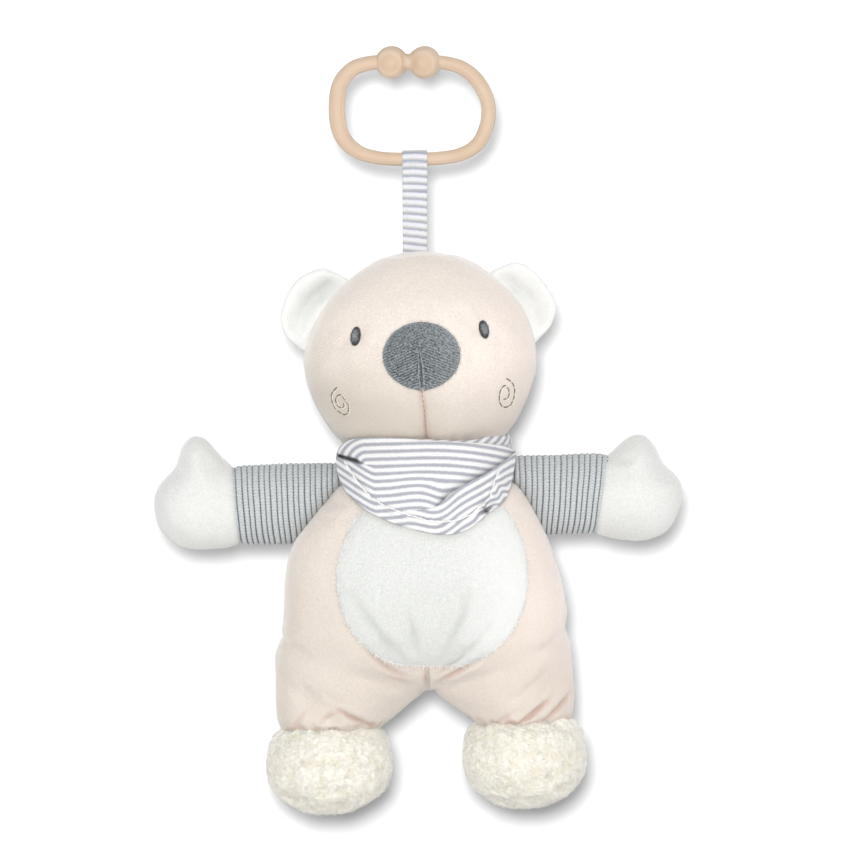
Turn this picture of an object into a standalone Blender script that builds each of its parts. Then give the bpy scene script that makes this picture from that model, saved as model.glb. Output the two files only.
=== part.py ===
"""A hanging plush bear for a pram or cot.

A link ring carries a ribbon, and the ribbon carries the stuffed bear, whose head, ears, arms,
legs and neckerchief move. Metres, +Z up, the face towards -Y, left and right as one sees the bear.
The origin lies under the two balls of the ring, where a rail or a hook carries the toy.
"""

import math

import bmesh
import bpy
import numpy as np
from mathutils import Matrix, Vector

# Clearances
GAP = 0.0003
RUNNING_GAP = 0.0006
EAR_GAP = 0.0014
HULL_ROOM = 1.04

# Link ring
RING_WIDTH = 0.067
RING_HEIGHT = 0.0441
RING_TUBE = 0.006
RING_SQUARENESS = 2.3
BALL_RADIUS = 0.0064
BALL_OFFSET = -0.0016
TUBE_START = 70.0
DIMPLE_RADIUS = 0.0044
DIMPLE_DEPTH = 0.0006
DIMPLE_TOWARDS = (-0.22, -0.95, -0.22)

# Ribbon
HANG_DEPTH = -0.0022
RIBBON_WIDTH = 0.0103
RIBBON_THICKNESS = 0.0006
RIBBON_REACH = 0.0335
TACK_DROP = 0.010
TACK_WIDTH = 0.0095
TACK_HEIGHT = 0.0012
TACK_THICKNESS = 0.0004
SEAM_DEPTH = 0.006

# Cloth
VELOUR = 0.0016
KNIT = 0.0014
CURLY_PILE = 0.003
PATCH_THICKNESS = 0.0012
PLUSH_THICKNESS = 0.0018
THREAD_THICKNESS = 0.0006
CLOTH_FOLD = 0.0012

# Head
HEAD_WIDTH = 0.092
HEAD_DEPTH = 0.074
HEAD_HEIGHT = 0.0805
EAR_RADIUS = 0.0165
EAR_THICKNESS = 0.0032
EAR_DISH = 0.004
EAR_OUT = 0.0408
EAR_DOWN = 0.0235
NOSE_WIDTH = 0.031
NOSE_HEIGHT = 0.0274
NOSE_DOWN = 0.0425
EYE_WIDTH = 0.0047
EYE_HEIGHT = 0.0088
EYE_OUT = 0.0256
EYE_DOWN = 0.0333
EYE_LEAN = 11.0
SPIRAL_OUT = 0.033
SPIRAL_DOWN = 0.0585
SPIRAL_RADIUS = 0.0052
SPIRAL_NARROWNESS = 0.78
SPIRAL_END = 0.28
SPIRAL_TURNS = 1.6
MUZZLE_END = 0.075
THREAD_WIDTH = 0.0008
NECK_RADIUS = 0.017
NECK_DOWN = 0.083

# Body
BODY_TOP_DOWN = 0.0845
BODY_HEIGHT = 0.0920
BODY_WIDTH = 0.117
BODY_DEPTH = 0.064
BELLY_WIDTH = 0.0756
BELLY_HEIGHT = 0.068
BELLY_DOWN = 0.133
BELLY_OFFSET = 0.0024

# Arms
SHOULDER_OUT = 0.040
ARM_DOWN = 0.0995
SLEEVE_RADIUS = 0.0158
SLEEVE_LENGTH = 0.0338
HAND_LENGTH = 0.0315
HAND_HEIGHT = 0.038
HAND_DEPTH = 0.026
THUMB_OUT = 0.0125
THUMB_UP = 0.0145
THUMB_RADIUS = 0.0090
ARM_RAISE = 40.0
ARM_LOWER = 20.0

# Legs
HIP_OUT = 0.0335
HIP_DOWN = 0.160
HIP_RADIUS = 0.0250
LEG_LENGTH = 0.0293
ANKLE_OUT = 0.038
ANKLE_RADIUS = 0.0202
FOOT_OUT = 0.039
FOOT_WIDTH = 0.0495
FOOT_DEPTH = 0.046
FOOT_HEIGHT = 0.0355
FOOT_FORWARD = 0.003
LEG_FORWARD = 45.0
LEG_BACK = 20.0

# Neckerchief
BAND_WIDTH = 0.056
BAND_DEPTH = 0.052
BAND_HEIGHT = 0.006
BAND_TUBE = 0.003
BAND_DOWN = 0.0850
SCARF_DOWN = 0.0800
SCARF_WIDTH = 0.072
SCARF_DROP = 0.0345
SCARF_TAPER = 0.08
SCARF_SIDE = 0.40
SCARF_FRONT = -0.0275
SCARF_WRAP = 0.0095
SCARF_SLOPE = 0.0085
SCARF_WAVE = 0.0012
SCARF_SPACING = 0.0005

# Shape of the sections: share of the height down, of the half width and of the half depth,
# and the lean of the middle as a share of the half depth, forwards negative.
HEAD_PROFILE = (
    (0.010, 0.20, 0.22, 0.00),
    (0.100, 0.57, 0.58, 0.00),
    (0.290, 0.86, 0.88, -0.04),
    (0.530, 1.00, 1.00, -0.08),
    (0.740, 0.95, 0.92, -0.08),
    (0.890, 0.79, 0.72, -0.06),
    (0.985, 0.50, 0.46, -0.02),
)
BODY_PROFILE = (
    (0.000, 0.43, 0.66, 0.00),
    (0.080, 0.54, 0.78, -0.02),
    (0.200, 0.68, 0.84, -0.04),
    (0.330, 0.86, 0.94, -0.05),
    (0.500, 0.95, 1.00, -0.05),
    (0.680, 0.99, 1.00, -0.05),
    (0.860, 0.98, 0.92, -0.05),
    (1.000, 0.74, 0.62, -0.02),
)
HAND_PROFILE = (
    (0.00, 0.83, 0.90),
    (0.28, 0.90, 0.92),
    (0.58, 1.00, 1.00),
    (0.86, 0.76, 0.80),
    (0.99, 0.34, 0.40),
)
LEG_PROFILE = (
    (-0.82, 0.27, 0.27),
    (-0.52, 0.78, 0.78),
    (-0.12, 0.98, 0.98),
    (0.35, 0.99, 0.99),
    (0.80, 0.87, 0.90),
    (1.00, 0.82, 0.84),
)
FOOT_PROFILE = (
    (0.00, 0.86, 0.86),
    (0.22, 0.97, 0.97),
    (0.52, 1.00, 1.00),
    (0.80, 0.83, 0.83),
    (0.98, 0.42, 0.42),
)

# Corners of the coarse cages, before subdivision doubles them
TRUNK_CORNERS = 12
LIMB_CORNERS = 8

# Derived places
RING_HALF = ((RING_WIDTH - RING_TUBE) / 2, (RING_HEIGHT - RING_TUBE) / 2)
RING_CENTRE = BALL_RADIUS - RING_HALF[1]
BAR_CENTRE = RING_CENTRE - RING_HALF[1]
HEAD_TOP = BAR_CENTRE - RING_TUBE / 2 - RIBBON_REACH
TACK_LEVEL = BAR_CENTRE - RING_TUBE / 2 - TACK_DROP
LAYERS = RIBBON_THICKNESS + GAP / 2
# Reach of the outlines that cut pieces out of the front of a form
FRONT_REACH = HEAD_DEPTH


def level(down):
    """Height of a place that is given as its distance under the top of the head."""
    return HEAD_TOP - down


NECK = Vector((0, 0, level(NECK_DOWN)))
SIDES = (("left", -1), ("right", 1))

# The scene and its collections
for old in list(bpy.data.objects):
    bpy.data.objects.remove(old, do_unlink=True)
PARTS = bpy.data.collections.new("hanging_bear")
CUTTERS = bpy.data.collections.new("cutters")
bpy.context.scene.collection.children.link(PARTS)
bpy.context.scene.collection.children.link(CUTTERS)


def finish(name, colour, roughness):
    """A plain material with one colour and one roughness."""
    material = bpy.data.materials.new(name)
    material.use_nodes = True
    shader = material.node_tree.nodes["Principled BSDF"]
    shader.inputs["Base Color"].default_value = (*colour, 1)
    shader.inputs["Roughness"].default_value = roughness
    shader.inputs["Metallic"].default_value = 0
    return material


LINK_PLASTIC = finish("link_plastic", (0.78, 0.58, 0.40), 0.38)
RIBBON = finish("striped_ribbon", (0.78, 0.78, 0.80), 0.85)
PINK_VELOUR = finish("pink_velour", (0.86, 0.76, 0.69), 0.95)
WHITE_VELOUR = finish("white_velour", (0.88, 0.89, 0.86), 0.95)
NOSE_VELOUR = finish("nose_velour", (0.19, 0.22, 0.23), 0.95)
DARK_THREAD = finish("dark_thread", (0.10, 0.12, 0.12), 0.6)
OLIVE_THREAD = finish("olive_thread", (0.30, 0.30, 0.22), 0.6)
RIB_KNIT = finish("rib_knit", (0.52, 0.55, 0.56), 0.9)
WHITE_PLUSH = finish("white_plush", (0.86, 0.87, 0.84), 1.0)
CREAM_PILE = finish("cream_pile", (0.90, 0.86, 0.76), 1.0)
JERSEY = finish("striped_jersey", (0.70, 0.70, 0.73), 0.9)
FILLING = finish("filling", (0.90, 0.90, 0.90), 1.0)


def add(name, mesh, material=None, place=None):
    """A mesh as a part, or as a cutter where it has no material."""
    thing = bpy.data.objects.new(name, mesh)
    if place is not None:
        thing.matrix_world = place
    if material is None:
        CUTTERS.objects.link(thing)
        thing.hide_render = True
        thing.display_type = "WIRE"
    else:
        PARTS.objects.link(thing)
        mesh.materials.append(material)
        mesh.shade_smooth()
    return thing


def combine(thing, other, operation="DIFFERENCE"):
    modifier = thing.modifiers.new(operation.lower(), "BOOLEAN")
    modifier.operation = operation
    modifier.object = other
    modifier.solver = "EXACT"
    return thing


def mesh_of(build):
    """A mesh that the given function fills through bmesh."""
    mesh = bpy.data.meshes.new("shape")
    work = bmesh.new()
    build(work)
    bmesh.ops.recalc_face_normals(work, faces=work.faces)
    work.to_mesh(mesh)
    work.free()
    return mesh


def passing_through(values):
    """Cage values whose subdivided curve passes through the given ones."""
    count = len(values)
    weights = (4 * np.eye(count) + np.eye(count, k=1) + np.eye(count, k=-1)) / 6
    weights[0] = np.eye(count)[0]
    weights[-1] = np.eye(count)[-1]
    return np.linalg.solve(weights, np.array(values))


def soft_form(name, sections, material=None, grow=0.0, corners=LIMB_CORNERS):
    """A stuffed form: a coarse cage through sections (middle, half width, half depth), subdivided.

    Widths lie along the first and depths along the second direction across the form's run.
    """
    run = (sections[-1][0] - sections[0][0]).normalized()
    across = Vector((1, 0, 0)) if abs(run.z) > 0.5 else Vector((0, 1, 0))
    through = Vector((0, 1, 0)) if abs(run.z) > 0.5 else Vector((0, 0, 1))
    shrink = (3 + math.cos(math.tau / corners)) / 4
    rows = [[*middle, wide + grow, deep + grow] for middle, wide, deep in sections]
    for end, way in ((0, -1), (-1, 1)):
        rows[end][:3] = Vector(rows[end][:3]) + run * way * grow
    rows = passing_through(rows)

    def build(work):
        rings = []
        for x, y, z, wide, deep in rows:
            rings.append(
                [
                    work.verts.new(
                        Vector((x, y, z))
                        + across * (wide / shrink * math.cos(turn))
                        + through * (deep / shrink * math.sin(turn))
                    )
                    for turn in np.arange(corners) * math.tau / corners
                ]
            )
        for upper, lower in zip(rings, rings[1:]):
            for i in range(corners):
                work.faces.new((upper[i], upper[i - 1], lower[i - 1], lower[i]))
        work.faces.new(rings[0])
        work.faces.new(rings[-1][::-1])

    thing = add(name, mesh_of(build), material)
    smooth = thing.modifiers.new("smooth", "SUBSURF")
    smooth.levels = smooth.render_levels = 1
    return thing


def ball(name, centre, radius, material=None, segments=24):
    def build(work):
        bmesh.ops.create_uvsphere(work, u_segments=segments, v_segments=segments // 2, radius=radius)

    return add(name, mesh_of(build), material, Matrix.Translation(centre))


def block(name, centre, size, material=None):
    def build(work):
        bmesh.ops.create_cube(work, size=1)
        bmesh.ops.scale(work, vec=size, verts=work.verts)

    return add(name, mesh_of(build), material, Matrix.Translation(centre))


def turned(name, profile, place, material=None, steps=20):
    """A profile of (radius, height) pairs, from its outer top down, turned about Z by a Screw.

    Where the profile runs along the axis, between a shell's two ends, it is left out.
    """

    def build(work):
        points = [work.verts.new((radius, 0, height)) for radius, height in profile]
        for first, second in zip(points, points[1:]):
            if first.co.x or second.co.x:
                work.edges.new((first, second))

    thing = add(name, mesh_of(build), material, place)
    screw = thing.modifiers.new("turn", "SCREW")
    screw.steps = screw.render_steps = steps
    screw.use_merge_vertices = True
    screw.merge_threshold = 0.00001
    return thing


def prism(name, outlines, thickness, place, material=None):
    """Closed outlines in a plane, filled and given a thickness."""
    curve = bpy.data.curves.new(name, "CURVE")
    curve.dimensions = "2D"
    curve.fill_mode = "BOTH"
    curve.extrude = thickness / 2
    for outline in outlines:
        spline = curve.splines.new("POLY")
        spline.points.add(len(outline) - 1)
        for point, (x, y) in zip(spline.points, outline):
            point.co = (x, y, 0, 1)
        spline.use_cyclic_u = True
    return meshed(name, curve, place, material)


def rod(name, points, radius, material=None, resolution=2):
    """A round rod along points, with closed ends."""
    curve = bpy.data.curves.new(name, "CURVE")
    curve.dimensions = "3D"
    curve.bevel_depth = radius
    curve.bevel_resolution = resolution
    curve.use_fill_caps = True
    spline = curve.splines.new("POLY")
    spline.points.add(len(points) - 1)
    for point, place in zip(spline.points, points):
        point.co = (*place, 1)
    return meshed(name, curve, Matrix.Identity(4), material)


def meshed(name, curve, place, material):
    """A curve as a closed mesh, so that it can be cut and can cut."""
    guide = bpy.data.objects.new(name + "_curve", curve)
    CUTTERS.objects.link(guide)
    guide.matrix_world = place
    bpy.context.view_layer.update()
    graph = bpy.context.evaluated_depsgraph_get()
    mesh = bpy.data.meshes.new_from_object(guide.evaluated_get(graph))
    work = bmesh.new()
    work.from_mesh(mesh)
    bmesh.ops.remove_doubles(work, verts=work.verts, dist=0.000001)
    bmesh.ops.recalc_face_normals(work, faces=work.faces)
    work.to_mesh(mesh)
    work.free()
    bpy.data.objects.remove(guide, do_unlink=True)
    return add(name, mesh, material, place)


def facing_front(x, z, turn=0.0):
    """A plane seen from the front, its normal along -Y, turned in its own plane."""
    return (
        Matrix.Translation((x, 0, z))
        @ Matrix.Rotation(math.radians(90), 4, "X")
        @ Matrix.Rotation(turn, 4, "Z")
    )


def ellipse(width, height, points=24):
    turns = [math.tau * i / points for i in range(points)]
    return [(width / 2 * math.cos(a), height / 2 * math.sin(a)) for a in turns]


def superellipse(half_width, half_height, squareness, turn):
    power = 2 / squareness
    x, y = math.cos(turn), math.sin(turn)
    return (
        half_width * math.copysign(abs(x) ** power, x),
        half_height * math.copysign(abs(y) ** power, y),
    )


def vertical_sections(top, height, width, depth, profile, x=0.0, y=0.0):
    return [
        (Vector((x, y + lean * depth / 2, top - down * height)), width / 2 * wide, depth / 2 * deep)
        for down, wide, deep, lean in profile
    ]


def laid_on(name, outline, form, thickness, material, height=GAP):
    """A flat piece that follows a form: the part of a prism between two grown copies of it.

    The prism reaches forwards from the middle of the bear, so only the front is covered.
    """
    combine(outline, form(name + "_outer", grow=height + thickness), "INTERSECT")
    combine(outline, form(name + "_inner", grow=height))
    outline.name = name
    CUTTERS.objects.unlink(outline)
    PARTS.objects.link(outline)
    outline.hide_render = False
    outline.display_type = "TEXTURED"
    outline.data.materials.append(material)
    return outline


# Link ring and ribbon
def ring_place(turn):
    """A place on the middle of the tube, from the turn about the ring's centre."""
    x, z = superellipse(RING_HALF[0], RING_HALF[1], RING_SQUARENESS, turn)
    return Vector((x, HANG_DEPTH, RING_CENTRE + z))


def make_ring():
    """An oval tube from ball to ball. The balls, its two ends, stand a little apart."""
    apart = Vector((BALL_RADIUS + GAP / 2, 0, 0))
    middle = ring_place(math.pi / 2) + Vector((BALL_OFFSET, 0, 0))
    start = math.radians(TUBE_START)
    turns = np.linspace(start, math.pi - start - math.tau, 29)
    route = [middle + apart, *map(ring_place, turns), middle - apart]
    tube = rod("link_ring", route, RING_TUBE / 2, LINK_PLASTIC, resolution=3)
    # A dimple is the part of a wide shallow ball that dips into the ring's ball.
    hollow = (DIMPLE_RADIUS**2 + DIMPLE_DEPTH**2) / (2 * DIMPLE_DEPTH)
    rim = math.sqrt(BALL_RADIUS**2 - DIMPLE_RADIUS**2)
    out = Vector(DIMPLE_TOWARDS).normalized() * (rim - DIMPLE_DEPTH + hollow)
    for side, centre in (("right", route[0]), ("left", route[-1])):
        combine(tube, ball(f"ball_{side}", centre, BALL_RADIUS, segments=18), "UNION")
        combine(tube, ball(f"dimple_{side}", centre + out, hollow, segments=32))
    return tube


def loop_outline(radius, foot):
    """A teardrop round the bar, down to a foot of half width foot at the bar tack."""
    drop = BAR_CENTRE - TACK_LEVEL - (0 if foot else 2 * LAYERS)
    reach = math.hypot(foot, drop)
    turn = math.atan2(-drop, foot) + math.acos(radius / reach)
    arc = np.linspace(turn, math.pi - turn, 15)
    points = [(foot, -drop)] if foot else [(0, -drop)]
    points += [(radius * math.cos(a), radius * math.sin(a)) for a in arc]
    return points + ([(-foot, -drop)] if foot else [])


def make_ribbon():
    across = Matrix.Translation((0, HANG_DEPTH, BAR_CENTRE)) @ Matrix(
        ((0, 0, 1, 0), (1, 0, 0, 0), (0, 1, 0, 0), (0, 0, 0, 1))
    )
    inner = RING_TUBE / 2 + RUNNING_GAP
    prism(
        "ribbon_loop",
        [loop_outline(inner + RIBBON_THICKNESS, LAYERS), loop_outline(inner, 0)],
        RIBBON_WIDTH,
        across,
        RIBBON,
    )
    block(
        "bar_tack",
        (0, HANG_DEPTH - LAYERS - 2 * GAP - TACK_THICKNESS / 2, TACK_LEVEL + TACK_HEIGHT),
        (TACK_WIDTH, TACK_THICKNESS, TACK_HEIGHT),
        DARK_THREAD,
    )
    hinge = ribbon_hinge()
    bottom = level(SEAM_DEPTH) - hinge.z
    arc = [math.pi * i / 8 for i in range(9)]
    outline = [(LAYERS * math.cos(a), LAYERS * math.sin(a)) for a in arc]
    outline += [(-LAYERS, bottom), (LAYERS, bottom)]
    place = Matrix.Translation(hinge) @ across.to_3x3().to_4x4()
    prism("ribbon_tail", [outline], RIBBON_WIDTH, place, RIBBON)


def ribbon_hinge():
    return Vector((0, HANG_DEPTH, TACK_LEVEL - LAYERS - GAP))


def ribbon_slot(name, room):
    depth = SEAM_DEPTH + room
    size = (RIBBON_WIDTH + 2 * room, 2 * (LAYERS + room), depth + SEAM_DEPTH)
    return block(name, (0, HANG_DEPTH, level(depth) + size[2] / 2), size)


# Head
HEAD_SECTIONS = vertical_sections(HEAD_TOP, HEAD_HEIGHT, HEAD_WIDTH, HEAD_DEPTH, HEAD_PROFILE)


def head_form(name, grow=0.0, material=None):
    return soft_form(name, HEAD_SECTIONS, material, grow, TRUNK_CORNERS)


def make_head():
    skin = head_form("head_cover", material=PINK_VELOUR)
    combine(skin, head_form("head_hollow", grow=-VELOUR))
    combine(skin, ball("neck_hole", NECK, NECK_RADIUS + RUNNING_GAP, segments=16))
    combine(skin, ribbon_slot("slot_cover", GAP))
    filling = head_form("head_filling", grow=-VELOUR - GAP, material=FILLING)
    combine(filling, ball("neck_socket", NECK, NECK_RADIUS + RUNNING_GAP, segments=16))
    combine(filling, ribbon_slot("slot_filling", 2 * GAP))
    ball("neck_filling", NECK, NECK_RADIUS, FILLING, segments=16)
    for side, way in SIDES:
        make_ear(side, way)


def make_ear(side, way):
    """A dished disc, hollow side forwards, cut to the head where it is sewn on."""
    bow = (EAR_RADIUS**2 + EAR_DISH**2) / (2 * EAR_DISH)
    turns = np.linspace(0, math.asin(EAR_RADIUS / bow), 6)
    back, front = (
        [(radius * math.sin(a), radius * math.cos(a) - bow) for a in turns]
        for radius in (bow + EAR_THICKNESS / 2, bow - EAR_THICKNESS / 2)
    )
    place = (
        Matrix.Translation((way * EAR_OUT, 0, level(EAR_DOWN)))
        @ Matrix.Rotation(math.radians(-90), 4, "X")
    )
    ear = turned(f"ear_{side}", back + front[::-1], place, WHITE_VELOUR, steps=24)
    combine(ear, head_form(f"ear_root_{side}", grow=EAR_GAP))


def make_face():
    nose_at = front_half(0, NOSE_DOWN)
    nose = prism("nose", [ellipse(NOSE_WIDTH, NOSE_HEIGHT)], FRONT_REACH, nose_at)
    laid_on("nose_patch", nose, head_form, PATCH_THICKNESS, NOSE_VELOUR)
    seam_top = NOSE_DOWN + NOSE_HEIGHT / 2 + GAP
    seam = block(
        "seam",
        (0, -FRONT_REACH / 2, level((seam_top + MUZZLE_END) / 2)),
        (THREAD_WIDTH, FRONT_REACH, MUZZLE_END - seam_top),
    )
    laid_on("muzzle_seam", seam, head_form, THREAD_THICKNESS, OLIVE_THREAD)
    for side, way in SIDES:
        eye = prism(
            "eye",
            [ellipse(EYE_WIDTH, EYE_HEIGHT, 16)],
            FRONT_REACH,
            front_half(way * EYE_OUT, EYE_DOWN, way * math.radians(EYE_LEAN)),
        )
        laid_on(f"eye_{side}", eye, head_form, THREAD_THICKNESS, DARK_THREAD)
        place = front_half(way * SPIRAL_OUT, SPIRAL_DOWN)
        swirl = prism("swirl", [spiral_outline(way)], FRONT_REACH, place)
        laid_on(f"cheek_spiral_{side}", swirl, head_form, THREAD_THICKNESS, OLIVE_THREAD)


def front_half(x, down, turn=0.0):
    """Where an outline of the full reach lies wholly in front of the bear's middle."""
    return Matrix.Translation((0, -FRONT_REACH / 2, 0)) @ facing_front(x, level(down), turn)


def spiral_outline(way, points=21):
    """A thread that winds inwards, as a narrow closed outline."""
    edges = ([], [])
    for i in range(points):
        share = i / (points - 1)
        radius = SPIRAL_RADIUS * (1 - (1 - SPIRAL_END) * share)
        turn = math.pi / 2 + way * share * SPIRAL_TURNS * math.tau
        for edge, step in zip(edges, (THREAD_WIDTH / 2, -THREAD_WIDTH / 2)):
            reach = radius + step
            edge.append((reach * SPIRAL_NARROWNESS * math.cos(turn), reach * math.sin(turn)))
    return edges[0] + edges[1][::-1]


# Body
BODY_SECTIONS = vertical_sections(
    level(BODY_TOP_DOWN), BODY_HEIGHT, BODY_WIDTH, BODY_DEPTH, BODY_PROFILE
)


def body_form(name, grow=0.0, material=None):
    return soft_form(name, BODY_SECTIONS, material, grow, TRUNK_CORNERS)


def hip(way):
    return Vector((way * HIP_OUT, 0, level(HIP_DOWN)))


def shoulder(way):
    return Vector((way * SHOULDER_OUT, 0, level(ARM_DOWN)))


def limb_sweeps():
    """What each arm and leg passes through, as one convex cutter that leaves it room."""
    sweeps = []
    for side, way in SIDES:
        limits = [Matrix.Rotation(-way * math.radians(a), 4, "Y") for a in (-ARM_LOWER, ARM_RAISE)]
        rod_end = [Vector(p) for p in arm_room(way)]
        sweeps.append(swept(f"arm_sweep_{side}", shoulder(way), rod_end, limits))
        limits = [Matrix.Rotation(math.radians(-a), 4, "X") for a in (-LEG_BACK, LEG_FORWARD)]
        leg_end = [Vector(p) for p in leg_room(way)]
        sweeps.append(swept(f"leg_sweep_{side}", hip(way), leg_end, limits))
    return sweeps


def swept(name, pivot, points, limits):
    """The convex hull of points about a pivot, turned to each limit of the joint."""

    def build(work):
        for turn in limits:
            for point in points:
                work.verts.new(turn @ point)
        bmesh.ops.convex_hull(work, input=work.verts)
        loose = [v for v in work.verts if not v.link_faces]
        bmesh.ops.delete(work, geom=loose, context="VERTS")

    return add(name, mesh_of(build), None, Matrix.Translation(pivot))


def ball_points(radius, around=12, up=6):
    """Places over a ball, the first and the last on its poles along X."""
    places = [(radius, 0, 0), (-radius, 0, 0)]
    for i in range(1, up):
        tilt = math.pi * i / up
        for k in range(around):
            turn = math.tau * k / around
            out = radius * math.sin(tilt)
            places.append((radius * math.cos(tilt), out * math.cos(turn), out * math.sin(turn)))
    return places


def arm_room(way):
    radius = (SLEEVE_RADIUS + RUNNING_GAP) * HULL_ROOM
    end = way * (SLEEVE_LENGTH + RUNNING_GAP)
    turns = [math.tau * k / 12 for k in range(12)]
    return ball_points(radius) + [(end, radius * math.cos(a), radius * math.sin(a)) for a in turns]


def leg_room(way):
    """The hip's ball and the sections of the leg below it."""
    radius = (HIP_RADIUS + RUNNING_GAP) * HULL_ROOM
    places = ball_points(radius)
    for middle, wide, deep in leg_sections(way)[1:]:
        for k in range(12):
            turn = math.tau * k / 12
            room = HULL_ROOM * (1 + RUNNING_GAP / wide)
            out = Vector((wide * math.cos(turn), deep * math.sin(turn), 0)) * room
            places.append(middle - hip(way) + out)
    return places


def round_end(radius, steps=5):
    """A profile round the lower end of a rod, from its side at height 0 to its axis."""
    turns = [math.pi / 2 * i / steps for i in range(steps + 1)]
    return [(radius * math.cos(a), -radius * math.sin(a)) for a in turns[:-1]] + [(0, -radius)]


def make_body():
    sweeps = limb_sweeps()
    skin = body_form("body_cover", material=PINK_VELOUR)
    combine(skin, body_form("body_hollow", grow=-VELOUR))
    combine(skin, ball("neck_hole_body", NECK, NECK_RADIUS + RUNNING_GAP, segments=16))
    filling = body_form("body_filling", grow=-VELOUR - GAP, material=FILLING)
    combine(filling, ball("neck_socket_body", NECK, NECK_RADIUS + RUNNING_GAP, segments=16))
    oval = prism(
        "belly",
        [ellipse(BELLY_WIDTH, BELLY_HEIGHT)],
        FRONT_REACH,
        front_half(BELLY_OFFSET, BELLY_DOWN),
    )
    patch = laid_on("belly_patch", oval, body_form, PLUSH_THICKNESS, WHITE_PLUSH)
    for thing in (skin, filling, patch):
        for sweep in sweeps:
            combine(thing, sweep)


# Arms
def sleeve_place(way):
    return Matrix.Translation(shoulder(way)) @ Matrix.Rotation(math.radians(way * 90), 4, "Y")


def hand_sections(way):
    cuff = shoulder(way) + Vector((way * (SLEEVE_LENGTH + GAP), 0, 0))
    return [
        (
            cuff + Vector((way * along * HAND_LENGTH, 0, 0)),
            HAND_DEPTH / 2 * deep,
            HAND_HEIGHT / 2 * high,
        )
        for along, high, deep in HAND_PROFILE
    ]


def make_arm(side, way):
    bore = SLEEVE_RADIUS - KNIT
    core = bore - GAP
    place = sleeve_place(way)
    sleeve = [(bore, SLEEVE_LENGTH), (SLEEVE_RADIUS, SLEEVE_LENGTH), *round_end(SLEEVE_RADIUS)]
    inner = [(r, h) for r, h in round_end(bore)][::-1]
    turned(f"sleeve_{side}", sleeve + inner + [(bore, SLEEVE_LENGTH)], place, RIB_KNIT)
    filling = turned(
        f"arm_filling_{side}",
        [(0, SLEEVE_LENGTH + GAP), (core, SLEEVE_LENGTH + GAP), *round_end(core)],
        place,
        FILLING,
    )
    sections = hand_sections(way)
    mitten = soft_form(f"hand_{side}", sections, WHITE_VELOUR)
    thumb_at = sections[0][0] + Vector((way * THUMB_OUT, 0, THUMB_UP))
    combine(mitten, ball(f"thumb_{side}", thumb_at, THUMB_RADIUS, segments=12), "UNION")
    combine(mitten, soft_form(f"hand_hollow_{side}", sections, grow=-VELOUR))
    mouth = place @ Matrix.Translation((0, 0, SLEEVE_LENGTH))
    reach = 3 * VELOUR
    combine(mitten, plug(f"cuff_{side}", core - VELOUR, mouth, reach, reach))
    core_hand = soft_form(f"hand_core_{side}", sections, grow=-VELOUR - GAP)
    combine(filling, core_hand, "UNION")
    combine(filling, plug(f"wrist_{side}", core - VELOUR - GAP, mouth, reach, reach), "UNION")


def plug(name, radius, place, up, down):
    """A short round rod that opens or joins hollows."""
    return turned(name, [(0, up), (radius, up), (radius, -down), (0, -down)], place, steps=16)


# Legs
def leg_sections(way):
    start = hip(way)
    sections = []
    for along, wide, deep in LEG_PROFILE:
        lean = max(along, 0) ** 2 * (ANKLE_OUT - HIP_OUT)
        middle = start + Vector((way * lean, 0, -along * LEG_LENGTH))
        sections.append((middle, HIP_RADIUS * wide, HIP_RADIUS * deep))
    return sections


def leg_form(name, way, grow=0.0, material=None):
    return soft_form(name, leg_sections(way), material, grow)


def foot_sections(way):
    top = level(HIP_DOWN + LEG_LENGTH) - GAP
    sections = []
    for down, wide, deep in FOOT_PROFILE:
        forward = -FOOT_FORWARD * min(1, 2 * down)
        middle = Vector((way * FOOT_OUT, forward, top - down * FOOT_HEIGHT))
        sections.append((middle, FOOT_WIDTH / 2 * wide, FOOT_DEPTH / 2 * deep))
    return sections


def make_leg(side, way):
    skin = leg_form(f"leg_cover_{side}", way, material=PINK_VELOUR)
    combine(skin, leg_form(f"leg_hollow_{side}", way, -VELOUR))
    ankle = Matrix.Translation((way * ANKLE_OUT, 0, level(HIP_DOWN + LEG_LENGTH)))
    hole = ANKLE_RADIUS - 2 * VELOUR
    reach = 3 * CURLY_PILE
    combine(skin, plug(f"ankle_{side}", hole, ankle, reach, reach))
    filling = leg_form(f"leg_filling_{side}", way, -VELOUR - GAP, FILLING)
    combine(filling, plug(f"ankle_core_{side}", hole - GAP, ankle, reach, reach), "UNION")
    sections = foot_sections(way)
    foot = soft_form(f"foot_{side}", sections, CREAM_PILE)
    combine(foot, soft_form(f"foot_hollow_{side}", sections, grow=-CURLY_PILE))
    combine(foot, plug(f"foot_mouth_{side}", hole, ankle, reach, reach))
    combine(filling, soft_form(f"foot_core_{side}", sections, grow=-CURLY_PILE - GAP), "UNION")


# Neckerchief
def make_band():
    """A closed roll of cloth round the neck."""
    count, corners = 24, 6

    def build(work):
        rings = []
        for turn in np.arange(count) * math.tau / count:
            out = Vector((math.cos(turn), math.sin(turn), 0))
            middle = Vector((BAND_WIDTH / 2 * out.x, BAND_DEPTH / 2 * out.y, 0))
            rings.append(
                [
                    work.verts.new(
                        middle
                        + out * (BAND_TUBE / 2 * math.cos(a))
                        + Vector((0, 0, BAND_HEIGHT / 2 * math.sin(a)))
                    )
                    for a in np.arange(corners) * math.tau / corners
                ]
            )
        for i, ring in enumerate(rings):
            for k in range(corners):
                work.faces.new((ring[k], ring[k - 1], rings[i - 1][k - 1], rings[i - 1][k]))

    place = Matrix.Translation((0, 0, level(BAND_DOWN)))
    return add("scarf_band", mesh_of(build), JERSEY, place)


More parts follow.
